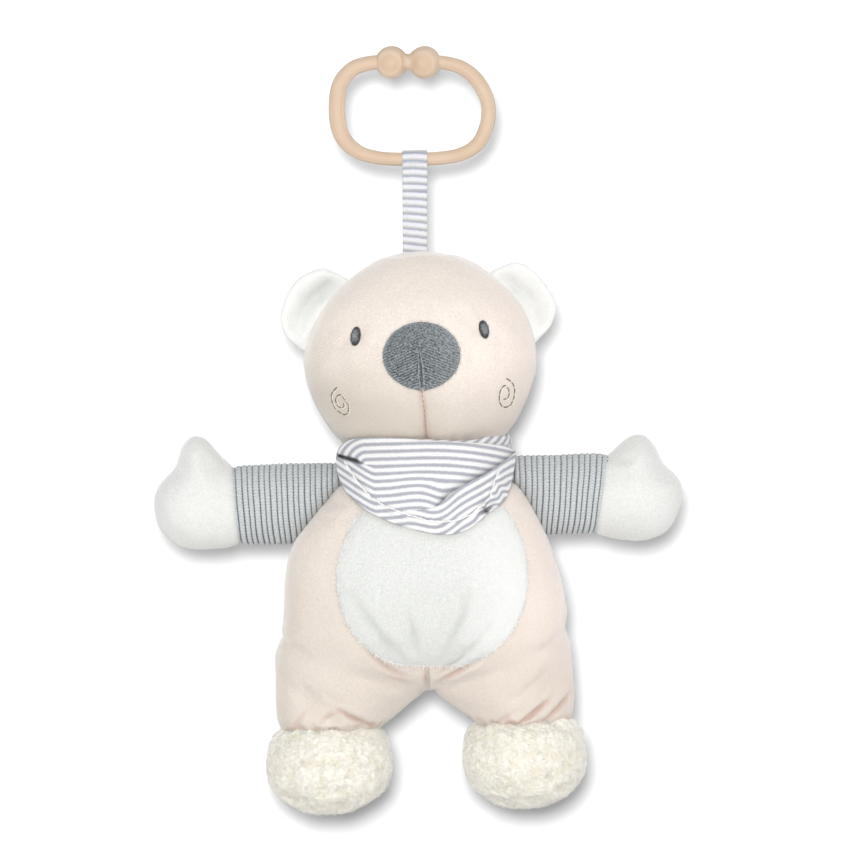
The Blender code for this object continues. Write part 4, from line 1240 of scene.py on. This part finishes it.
# Belly patch
BELLY = (
    (-25, -173.9), (-29.5, -178.2), (-33.8, -188.9), (-35.4, -198.5), (-34, -210.1), (-29.9, -220.2),
    (-22.1, -228.4), (-14.2, -232.7), (-3.4, -234.2), (11, -234.6), (19.8, -232.4), (30, -225.5),
    (36.3, -216.5), (39.8, -204.2), (39.7, -192.6), (36.5, -180.9), (31.5, -172.7), (22, -166), (3, -163),
    (-16, -166.5),
)


def make_belly(front):
    """A plush oval sewn on the front, with soft folds that gather at its foot."""
    outline = rounded(BELLY, 260)

    def height(place, share):
        return 0.3 + 1.0 * math.sqrt(1 - max(0.0, (share - 0.86) / 0.14) ** 2)

    patch = laid("belly_plush", front, outline, height, BELLY_PLUSH, rings=90)
    for path, width, depth in BELLY_FOLDS:
        # Soft folds, with strong painted shade marked down in them.
        crease(patch, path, 0.65 * width, 0.2 * depth, fade=0.5, tone=8.0)
    # Painted shadow under the foot of the scarf.
    seen = in_picture(places_of(patch))
    below = np.clip(FOOT_LINE(seen[:, 0]) - seen[:, 1], 0, 20)
    mark(patch, "fold", marked(patch, "fold") + 0.75 * bell(below, 2.6))
    uneven(patch, (0.35, 9, 6.0), (0.2, 1.9, 2.0))
    settle(patch, "white_plush", "torso", "belly_patch", fill=0.4)
    rng = np.random.default_rng(5)
    runs = []
    middle = outline.mean(0)
    for _ in range(2400):
        point = outline[rng.integers(len(outline))] + rng.normal(0, 0.25, 2)
        if point[1] > -172:
            continue
        away = (point - middle) / np.linalg.norm(point - middle)
        x, z = away + rng.normal(0, 0.45, 2)
        skin, out = front.at(*(point - away * 0.5))
        hair = np.array([x, 0.0, z]) * rng.uniform(0.5, 1.25)
        runs.append([skin + out * (0.75 - 0.3 * t) + hair * t for t in (0.0, 0.35, 0.7, 1.0)])
    sewn("belly_fuzz", runs, 0.09, BELLY_FIBRE_PAINTED_LIGHTER, "white_plush", "torso", sides=3)


# Arms
RIB_PITCH = 2.24
# Each sleeve: level, radius, where its cuff ends, how far the cuff slants
SLEEVES = {"left": (-168.2, 15.9, 75.2, -0.075), "right": (-167.4, 15.8, 71.8, 0.165)}
HANDS = {
    "left": (
        (-73.8, -183.8), (-78.2, -184.7), (-89.3, -185.3), (-96, -184.2), (-100.3, -181.9), (-105.7, -176.2),
        (-107.6, -166.4), (-105.9, -160.3), (-102.4, -156.2), (-99.2, -153.4), (-97.8, -150.2),
        (-95.8, -143.9), (-91.6, -140.7), (-86.6, -141.8), (-81.4, -147.6), (-75.6, -152.2), (-71.6, -152.8),
        (-70.6, -160), (-70.4, -168), (-70.2, -176), (-70.6, -183),
    ),
    "right": (
        (74.8, -151.8), (79.3, -147.6), (84.9, -144.5), (89.4, -145.6), (93.6, -151), (94.9, -155.2),
        (97.2, -158), (100.4, -160.9), (102.7, -166.5), (101.4, -174.8), (96.4, -183), (87.9, -186.4),
        (79.6, -186.2), (69.3, -183.5), (65.6, -182.6), (65.4, -176), (65.6, -168), (65.8, -160), (67, -152.4),
        (70.5, -151.9),
    ),
}
HAND_MIDDLES = {"left": (-88, -167), "right": (84, -168.5)}


def make_arms():
    """Ribbed sleeves that run out of the body to stuffed mitten hands."""
    for side, way in SIDES:
        z, radius, cuff, slant = SLEEVES[side]
        rows = smooth_curve(TORSO, 200)[::-1]
        edges = way * rows[:, 0] + rows[:, 3]
        around, inside, seam = 120, 18.0, 36
        run = np.arange(inside, cuff, RIB_PITCH / 9)
        turns = np.arange(around) * math.tau / around
        places, rib, across = [], [], []
        for far in run:
            share = np.clip((far - seam) / (cuff - seam), 0, 1)
            wander = 0.25 * np.sin(2 * turns + 0.09 * far) + 0.12 * np.sin(5 * turns + 0.2 * far)
            phase = (far + 0.15 * math.sin(far)) / RIB_PITCH
            groove = bell(phase - round(phase), 0.15)
            puff = 0.3 * math.sin(math.pi * share) - 0.07 * math.cos(math.tau * phase)
            pinch = -0.7 * bell(share - 1, 0.06)
            r = radius + puff + pinch - 0.34 * groove
            up = r * np.cos(turns)
            beyond = np.clip((far - np.interp(z + up, rows[:, 2], edges)) / 10, 0, 1)
            deep = r * (0.42 + 0.55 * np.sqrt(1 - (1 - beyond) ** 2)) * np.sin(turns)
            x = way * (far + wander * 0.5) + slant * up * share
            places.append(np.stack([x, deep - 0.4, z + up], 1))
            # Painted shade: the grooves are drawn darker on the sleeve's underside.
            rib += list(1 - groove * (0.86 - 0.14 * np.cos(turns)))
            across += [phase] * around
        faces = [f[::way] for f in tube_faces(len(run), around)]
        sleeve = built(f"rib_sleeve_{side}", np.vstack(places), faces, RIB)
        mark(sleeve, "rib", rib)
        mark(sleeve, "across", across)
        p = places_of(sleeve)
        p[:, 1:] += 0.35 * lumps(p, 15, 9.0 + way)[:, None]
        move_to(sleeve, p)
        settle(sleeve, "rib_knit", None, f"sleeve_{side}", fill=0.8)
        shoulder = ((way * far, 0, SHOULDER_LEVEL) for far in (35.5, 46.5))
        blended(sleeve, "torso", f"arm_{side}", *shoulder)

        form = pillow(HANDS[side], np.array(HAND_MIDDLES[side]), 15.3, 16.3, cuff - 2.0, y=-0.4)
        hand = one_skin(f"hand_velour_{side}", [form], 1.5, 6)
        places = places_of(hand)
        near = bell(np.abs(places[:, 0]) - cuff + 2, 7)
        places[:, 0] += 0.9 * slant * (places[:, 2] - z) * near
        tucked = np.abs(places[:, 0]) < cuff - 0.8 + way * slant * (places[:, 2] - z)
        places[tucked, 1] *= 0.86
        places[tucked, 2] = z + (places[tucked, 2] - z) * 0.86
        move_to(hand, places)
        filled_out(hand, lambda p: np.abs(p[:, 0]) < cuff + 2, swell=0.03, cap=1.0)
        subdivided(hand)
        uneven(hand, (0.3, 11, 2.0 + way), (0.08, 3.5, 7.0))
        hand.data.materials.append(WHITE_VELOUR)
        settle(hand, "white_velour", f"arm_{side}", f"hand_{side}", f"arm_filling_{side}", fill=0.85)


# Feet
FEET = {
    "left": (
        (-40.6, -1.5, -255.6, 14, 13), (-40.6, -1.8, -258.2, 19.8, 19.2), (-40.6, -2.2, -262, 23.2, 21.8),
        (-40.8, -2.6, -268, 24.6, 23), (-40.8, -2.8, -274, 25, 23.4), (-40.6, -2.8, -280, 23.7, 22.4),
        (-40.6, -2.5, -286, 19.8, 18.8), (-40.6, -2.2, -290.4, 13.2, 12.4), (-40.6, -2, -293, 4.5, 4.5),
    ),
    "right": (
        (37, -1.5, -254.8, 14, 13), (37.1, -1.8, -257.4, 19.4, 19), (37.2, -2.2, -261.2, 22.9, 21.6),
        (37.2, -2.6, -267.4, 24.4, 22.8), (37.2, -2.8, -273.6, 24.7, 23.2), (37.2, -2.8, -279.4, 23.4, 22.2),
        (37.2, -2.5, -285.2, 19.6, 18.6), (37.2, -2.2, -289.6, 13, 12.2), (37.2, -2, -292.1, 4.5, 4.5),
    ),
}


def curls(places, seed):
    """How high each place stands in a coat of small curls, from 0 in the gaps to 1 on top."""
    shift = Vector((seed, -seed, 2 * seed))
    high = np.empty(len(places))
    for k, place in enumerate(places):
        point = Vector(place) + shift
        bend = noise.noise_vector(point / 2.4) * 1.1
        near, _ = noise.voronoi((point + bend) / 2.6)
        cell = min(1.0, (near[1] - near[0]) * 1.5)
        clump = 0.5 + noise.noise(point / 4.5)
        high[k] = 0.55 * cell + 0.35 * abs(noise.noise((point + bend) / 0.85)) + 0.4 * clump
    return np.clip(high, 0, 1.2)


def make_feet():
    """Round feet of curly fleece, with loose curls over the coat."""
    for side, way in SIDES:
        foot = one_skin(f"fleece_foot_{side}", [lofted(FEET[side], rings=44, around=72, square=2.05)], 1.0, 3)
        filled_out(foot, lambda p: p[:, 2] > -260, swell=0.02, cap=0.8)
        subdivided(foot)
        p, out = places_of(foot), normals_of(foot)
        p[:, 2] += 2.2 * lumps(p, 4.5, 21.0 + way) * np.clip((p[:, 2] + 262) / 4, 0, 1)
        high = curls(p, 11.0 + way)
        edge = np.clip(np.abs(out[:, 1]) * 1.5 + 0.2, 0.3, 1.0)
        p += out * ((0.95 * high * edge - 0.6) + 0.3 * lumps(p, 8, 3.0 + way))[:, None]
        move_to(foot, p)
        # Painted shade between the curls, marked as hollow.
        mark(foot, "hollow", np.clip(1.05 - 1.5 * high, 0, 1) * np.clip(edge, 0.4, 1))
        foot.data.materials.append(FLEECE)
        settle(foot, "cream_pile", f"leg_{side}", f"foot_{side}", fill=0.8)
        out = normals_of(foot)
        rng = np.random.default_rng(17 + way)
        runs = []
        top = np.array([FEET[side][3][0], 0.0, -262.0])
        for index in rng.choice(len(p), 8000, replace=False):
            n = out[index]
            if p[index][2] > -256.0:
                continue
            up = 2.0 if p[index][2] > -259.5 and rng.random() < 0.7 else -0.3
            curl = 2.2 * np.array(noise.noise_vector(Vector(p[index]) / 2.2)) + rng.normal(0, 0.5, 3)
            flow = (p[index] - top) / 30 + np.array([0, 0, up]) + curl
            flow -= n * (flow @ n)
            flow /= np.linalg.norm(flow)
            aside = np.cross(n, flow)
            reach, bend = rng.uniform(0.7, 1.6), rng.normal(0, 1.0)
            lift = rng.uniform(0.4, 1.0) * edge[index]
            runs.append(
                [
                    p[index] + reach * t * flow + bend * t * t * aside + n * (lift * math.sin(2.6 * t) - 0.05)
                    for t in np.linspace(0, 1, 5)
                ]
            )
        sewn(f"fleece_curls_{side}", runs, 0.085, FLEECE_FIBRE, "cream_pile", f"leg_{side}", sides=3)


# Scarf
SCARF_TOP = (
    (-34.8, -152.5), (-34.3, -148.6), (-31.8, -144.9), (-27, -143.1), (-19.4, -142.6), (-8, -143.3),
    (0.9, -144.3), (12, -145.3), (24.1, -146.3), (32, -147.6), (36, -149.2), (37.1, -150.7),
)
SCARF_FOOT = (
    (-34.8, -152.5), (-33.6, -158.3), (-30.7, -164.2), (-26, -169.2), (-20.1, -173.3), (-8.7, -178.4),
    (5.2, -182), (16.1, -180.7), (25, -174.5), (32, -169.1), (34.6, -163.5), (36.4, -156), (37.1, -150.7),
)
SCARF_DIAGONAL = (
    (-9, -172.4), (-2, -172.2), (3, -171.6), (6.4, -170), (9, -167.5), (12.5, -164.9), (18.6, -161.5),
    (24.7, -158.6), (30.8, -154.8), (37.1, -150.3),
)
SCARF_GAP = ((-34.8, -149), (-31.9, -150.1), (-27, -151.6), (-23.4, -153.5))
SCARF_HEM = (
    (-31.6, -151.2), (-30.5, -153), (-26.9, -159.1), (-24.2, -162.8), (-20.8, -167), (-15.3, -170.4),
    (-6.9, -173.8), (1, -176.3), (7.5, -177.2), (13.5, -176.6), (18, -174.7), (22.5, -171.5), (26.2, -168.2),
    (27.8, -162.6), (29.9, -157.5),
)
SCARF_PUCKER = (24.6, -173.0)
SCARF_LEFT, SCARF_RIGHT = -34.8, 37.1


def edge_line(points):
    """A smooth edge as a function that gives z at each x."""
    dense = smooth_curve(points, 400)
    order = np.argsort(dense[:, 0])
    return lambda x: np.interp(x, dense[order, 0], dense[order, 1])


def eased(value):
    value = np.clip(value, 0, 1)
    return value * value * (3 - 2 * value)


TOP_LINE, FOOT_LINE, DIAGONAL_LINE, GAP_LINE = map(edge_line, (SCARF_TOP, SCARF_FOOT, SCARF_DIAGONAL, SCARF_GAP))


def off_diagonal(x, z):
    """How far above the flap's slanting edge."""
    return (z - DIAGONAL_LINE(x)) * 0.84


def from_pucker(x, z):
    """How far beside and above the tack that puckers the flap, how far away, and the turn round it."""
    x, z = x - SCARF_PUCKER[0], z - SCARF_PUCKER[1]
    return x, z, np.hypot(x, z), np.arctan2(z, x)


def hanging(x, z):
    """How far forward the scarf hangs, as a plain cloth round the chest."""
    t = np.clip((-143 - z) / 39, 0, 1.1)
    across = np.abs(x - 1.15) / 35.95
    return -30.5 - 5 * t - 4.5 * np.sin(math.pi * t**0.8) + 20 * across**3.4


def folds(x, z):
    """The soft folds and dents on the scarf, forward being negative."""
    flat = upright(np.stack([x, z], 1))
    beside, along, away, turn = from_pucker(x, z)
    dent = 3.6 * bell(beside, 2.0) * bell(along - 0.45 * beside, 0.95)
    rays = -0.8 * np.cos(6 * turn) * bell(away - 3.2, 2.4)
    hem, _ = off_line(flat, SCARF_HEM)
    seam = 0.8 * bell(hem, 0.6) - 0.35 * bell(hem - 1.4, 0.8)
    corner = np.hypot(x - 7.5, z + 169)
    valley = 0.9 * bell(corner, 5)
    slack = 0.9 * lumps(flat, 13, 4.0) + 0.25 * lumps(flat, 4, 2.0)
    return dent + rays + seam + valley + slack


def cloth_stripes(x, z):
    """Distance across the stripes on the main cloth."""
    across = -(z + 144) - 2.9 * (np.clip(x, 0, 40) / 28) ** 2
    across += 1.0 * bell(x + 3, 8) * eased((-152 - z) / 12)
    across -= 1.5 * bell(x - 7, 5) * eased((-158 - z) / 8) * eased((z + 178) / 7)
    left = np.clip(-19 - x, 0, 20)
    across += 0.66 * left**2 / (left + 3) * 1.15 * (z < GAP_LINE(x))
    arcs = 9.2 - np.hypot(x + 22.5, z + 153.2)
    return np.where((x < -22.5) & (z > GAP_LINE(x)), arcs, across)


def flap_stripes(x, z):
    """Distance across the stripes on the flap, which rise beside its fold."""
    corner = cloth_stripes(np.array([6.4]), np.array([-170.0]))[0]
    bent = sum(DIAGONAL_LINE(x + far) for far in (-5, -2.5, 0, 2.5, 5)) / 5
    across = corner + 0.3 + 0.93 * (bent - z)
    across += 0.9 * bell(x - 31.5, 3) * eased((-156 - z) / 8)
    _, _, away, turn = from_pucker(x, z)
    across += 1.6 * bell(away, 4.0) * (1 + np.sin(2 * turn + 0.6))
    across += 0.5 * np.sin(x * 1.1 + z * 0.5) * eased((x - 24) / 6) * eased((-158 - z) / 6)
    share = eased((x + 9) / 24)
    return (1 - share) * cloth_stripes(x, z) + share * across


def cloth_grid(name, xs, top, foot, rows, depth, stripes, roll, hem):
    """A cloth between two edges: it rolls backwards over its top edge and turns in at its foot."""
    places, across = [], []
    turns = np.radians(np.linspace(205, 0, 12, endpoint=False))
    under = np.radians(np.linspace(0, -190, 8))
    for x, z_top, z_foot in zip(xs, top, foot):
        tall = max(z_top - z_foot, 0.05)
        r, e = min(roll, tall * 0.3), min(hem, tall * 0.2)
        z = np.linspace(z_top - r, z_foot + e, rows)
        y = depth(np.full(rows, x), z)
        s = stripes(np.full(rows, x), z)
        over = [(x, y[0] + r - r * math.cos(a), z[0] + r * math.sin(a)) for a in turns]
        low = [(x, y[-1] + e - e * math.cos(a), z[-1] + e * math.sin(a)) for a in under]
        places += over + [(x, yy, zz) for yy, zz in zip(y, z)] + low
        across += list(s[0] - r * turns) + list(s) + list(s[-1] - e * under)
    places = np.array(places)
    middle = np.array([PICTURE_CENTRE[0], 0, PICTURE_CENTRE[1]])
    nearer = (CAMERA_AWAY + places[:, 1:2]) / CAMERA_AWAY
    places[:, [0, 2]] = (middle + (places - middle) * nearer)[:, [0, 2]]
    cloth = built(name, places, grid_faces(len(xs), len(turns) + rows + len(under)), JERSEY)
    mark(cloth, "stripe", across)
    keep_rest(cloth)
    return thickened(cloth, 0.35)


def make_scarf():
    """A jersey scarf round the neck: one folded cloth in front with a flap lapped over its right."""
    middle, half = (SCARF_LEFT + SCARF_RIGHT) / 2, (SCARF_RIGHT - SCARF_LEFT) / 2
    xs = middle - half * np.cos(np.linspace(0.02, math.pi - 0.02, 240))

    def main_depth(x, z):
        gap, share = off_line(upright(np.stack([x, z], 1)), SCARF_GAP)
        above = z > GAP_LINE(x)
        open_to = eased((1 - share) * 3.0)
        slot = 7.0 * np.exp(-((gap / (0.36 + 0.5 * np.sin(math.pi * share))) ** 4)) * open_to
        lip = np.where(above, -1.3 * np.exp(-gap / 1.6), 1.2 * np.exp(-gap / 2.2)) * open_to
        beside = np.clip(off_diagonal(x, z), 0, 9)
        behind = 1.5 * bell(beside, 2.6) * eased((x - 4) / 5)
        return hanging(x, z) + folds(x, z) + slot + lip + behind

    foot = FOOT_LINE(xs) + 0.9 * eased(xs / 6)
    cloth = cloth_grid("scarf_cloth", xs, TOP_LINE(xs), foot, 150, main_depth, cloth_stripes, 1.7, 0.4)

    flap_xs = SCARF_RIGHT - 0.02 - (SCARF_RIGHT + 8.6) * (1 - np.cos(np.linspace(math.pi / 2, 0, 150)))

    def flap_depth(x, z):
        lifted = 0.35 + 0.75 * bell(off_diagonal(x, z), 2.4)
        rise = 0.45 * eased((x + 8.6) / 4.5) - 0.27 + lifted * eased((x + 8) / 17)
        return hanging(x, z) + folds(x, z) - rise

    edges = DIAGONAL_LINE(flap_xs), FOOT_LINE(flap_xs)
    flap = cloth_grid("scarf_flap", flap_xs, *edges, 80, flap_depth, flap_stripes, 0.5, 0.4)

    # Painted shadow: the lap's shadow along the flap's slanting edge and the dark slot, marked as fold.
    places = places_of(cloth)
    x, z = in_picture(places).T
    beside = off_diagonal(x, z)
    lap_shadow = bell(np.clip(beside, 0, 9), 1.1) * eased((x - 3) / 5) * (beside > -1)
    lap_shadow *= 0.95 * (0.72 + 0.28 * np.sin(0.32 * x + 0.4))
    gap, share = off_line(places, SCARF_GAP)
    slot = bell(gap, 0.42 + 0.5 * np.sin(math.pi * share)) * eased((1 - share) * 4)
    mark(cloth, "fold", np.clip(np.maximum(lap_shadow, slot), 0, 1) * 0.85)
    # Painted shade in the pucker round the tack, marked as fold.
    x, z = in_picture(places_of(flap)).T - np.array(SCARF_PUCKER)[:, None]
    away = np.hypot(x, 1.6 * (z - 0.4 * x))
    mark(flap, "fold", 0.95 * bell(away, 1.6))

    front = Front(cloth, flap)
    hem = thread("scarf_topstitch", stitches(front, SCARF_HEM, 2.4, -0.1, 0.38, steps=7), 0.31, PALE)
    knot, middle, reach = [], np.array(SCARF_PUCKER), 0.9
    for turn in np.radians((20, 75, 130, 160)):
        half = reach * np.array((math.cos(turn), math.sin(turn)))
        knot += stitches(front, (middle - half, middle + half), 2 * reach, 1, 0.2)
    tack = thread("scarf_tack", knot, 0.2, DARK)
    for piece in (hem, tack):
        keep_rest(piece)
    y, z = SCARF_FRONT, SCARF_LEVEL
    for piece, slot in zip((cloth, flap, hem, tack), ["striped_jersey"] * 3 + ["dark_thread"]):
        blended(piece, "torso", "scarf", (0, y, z + 2.5), (0, y - 3, z - 7))
    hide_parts("scarf_upper")
    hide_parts("scarf_under")
    make_band()


def make_band():
    """The scarf rolled round the neck, with its stripes running aslant."""
    around, ring = 260, 36
    turns = np.arange(around) * math.tau / around
    small = np.arange(ring) * math.tau / ring
    places, across = [], []
    for a in turns:
        to_right = math.cos(a)
        out = Vector((to_right * (31.6 + 0.9 * to_right), math.sin(a) * 27.2, 0))
        way = Vector((math.cos(a) / 32.3, math.sin(a) / 27.2, 0)).normalized()
        fat = 1 + 0.08 * math.sin(3 * a + 1) + 0.05 * math.sin(7 * a)
        level = -148.3 + 1.8 * max(0, to_right - 0.62) / 0.38
        for b in small:
            fold = fat * (1 + 0.07 * math.sin(4 * b + 3 * a) + 0.04 * math.sin(9 * b - 5 * a))
            wide, tall = 3.1 * fold * math.cos(b), (3.8 + 0.6 * to_right) * fold * math.sin(b)
            places.append(out + way * wide + Vector((0, -1.0, level + tall)))
            across.append(3.9 * b - 13.5 * a)
    faces = tube_faces(around, ring, closed=True)
    band = built("scarf_band_roll", places, faces, JERSEY)
    mark(band, "stripe", across)
    settle(band, "striped_jersey", "torso", "scarf_band")


# Studio
WALL_BEHIND = 330
FLOOR_LEVEL = -440


def paper(name, tone, brightness):
    """White paper that glows a little to the camera and is clear from behind."""
    material, recipe, shader = finish(name, (tone, tone, tone), 0.95, specular=0.0)
    shader.inputs["Emission Color"].default_value = (1, 1, 1, 1)
    seen = recipe.add("LightPath").outputs["Is Camera Ray"]
    recipe.link(recipe.times(seen, brightness), shader.inputs["Emission Strength"])
    clear = recipe.add("BsdfTransparent")
    behind = recipe.add("NewGeometry").outputs["Backfacing"]
    mixed = recipe.add("MixShader", {0: behind, 1: shader.outputs[0], 2: clear.outputs[0]})
    recipe.link(mixed.outputs[0], material.node_tree.nodes["Material Output"].inputs["Surface"])
    return material


def make_studio():
    """A white wall behind, clear of the toy's swing, with a lamp of its own for the toy's shadow on it."""
    reach = 2500
    ends, square = ((-1, 0), (1, 0), (1, 1), (-1, 1)), [(0, 1, 2, 3)]
    places = [(x * reach, WALL_BEHIND, reach if up else FLOOR_LEVEL) for x, up in ends]
    wall = built("studio_wall", places, square, paper("wall_paper", 0.46, 0.0), smooth=False)
    places = [(x * reach, reach if far else -reach, FLOOR_LEVEL) for x, far in ends]
    floor = built("studio_floor", places, square, paper("floor_paper", 0.92, 0.8), smooth=False)
    target = Vector((PICTURE_CENTRE[0], 0, PICTURE_CENTRE[1])) * MM
    # Name, place in millimetres, size in metres, power in watts, colour
    lights = (
        ("key", (-60, -1550, 70), 0.24, 13.2, (1.0, 0.992, 0.98)),
        ("fill", (100, -1200, 1050), 1.6, 8.0, (0.985, 0.99, 1.0)),
        ("left_side", (-1300, -550, 100), 1.4, 4.0, (0.99, 0.99, 1.0)),
        ("right_side", (1300, -550, 100), 1.4, 5.3, (1.0, 0.99, 0.99)),
        ("wall_key", (-8, -1500, -114), 0.045, 50.0, (1.0, 1.0, 1.0)),
    )
    for name, place, size, power, colour in lights:
        lamp = bpy.data.lights.new(name, "AREA")
        lamp.shape = "DISK"
        lamp.size = size
        lamp.energy = power
        lamp.color = colour
        thing = bpy.data.objects.new(name, lamp)
        bpy.context.scene.collection.objects.link(thing)
        thing.visible_camera = False
        thing.location = Vector(place) * MM
        thing.rotation_euler = (target - thing.location).to_track_quat("-Z", "Y").to_euler()
        if name == "wall_key":
            lit = bpy.data.collections.new("lit_by_wall_key")
            lit.objects.link(wall)
            thing.light_linking.receiver_collection = lit
    world = bpy.data.worlds.new("even_sky")
    bpy.context.scene.world = world
    world.use_nodes = True
    sky = world.node_tree.nodes["Background"]
    sky.inputs["Color"].default_value = (0.97, 0.985, 1.0, 1)
    recipe = Recipe(world.node_tree)
    seen = recipe.add("LightPath").outputs["Is Camera Ray"]
    recipe.link(recipe.spread(seen, 0, 1, 0.22, 1.0), sky.inputs["Strength"])


def make_camera():
    """A long lens straight in front, turned by the little that the toy hangs askew."""
    lens = bpy.data.cameras.new("front_camera")
    lens.sensor_width = 36
    lens.lens = 36 * CAMERA_AWAY / PICTURE_WIDTH
    lens.clip_end = 20
    camera = bpy.data.objects.new("front_camera", lens)
    bpy.context.scene.collection.objects.link(camera)
    c, s = math.cos(PICTURE_TURN), math.sin(PICTURE_TURN)
    x, z = PICTURE_CENTRE
    rows = (c, s, 0, x * MM), (0, 0, -1, -CAMERA_AWAY * MM), (-s, c, 0, z * MM), (0, 0, 0, 1)
    camera.matrix_world = Matrix(rows)
    bpy.context.scene.camera = camera
    bpy.context.scene.view_settings.view_transform = "Standard"


make_studio()
make_camera()
make_ring()
make_ribbon()
make_head()
make_ears()
body_front = make_body()
make_neck()
make_belly(body_front)
make_arms()
make_feet()
make_scarf()
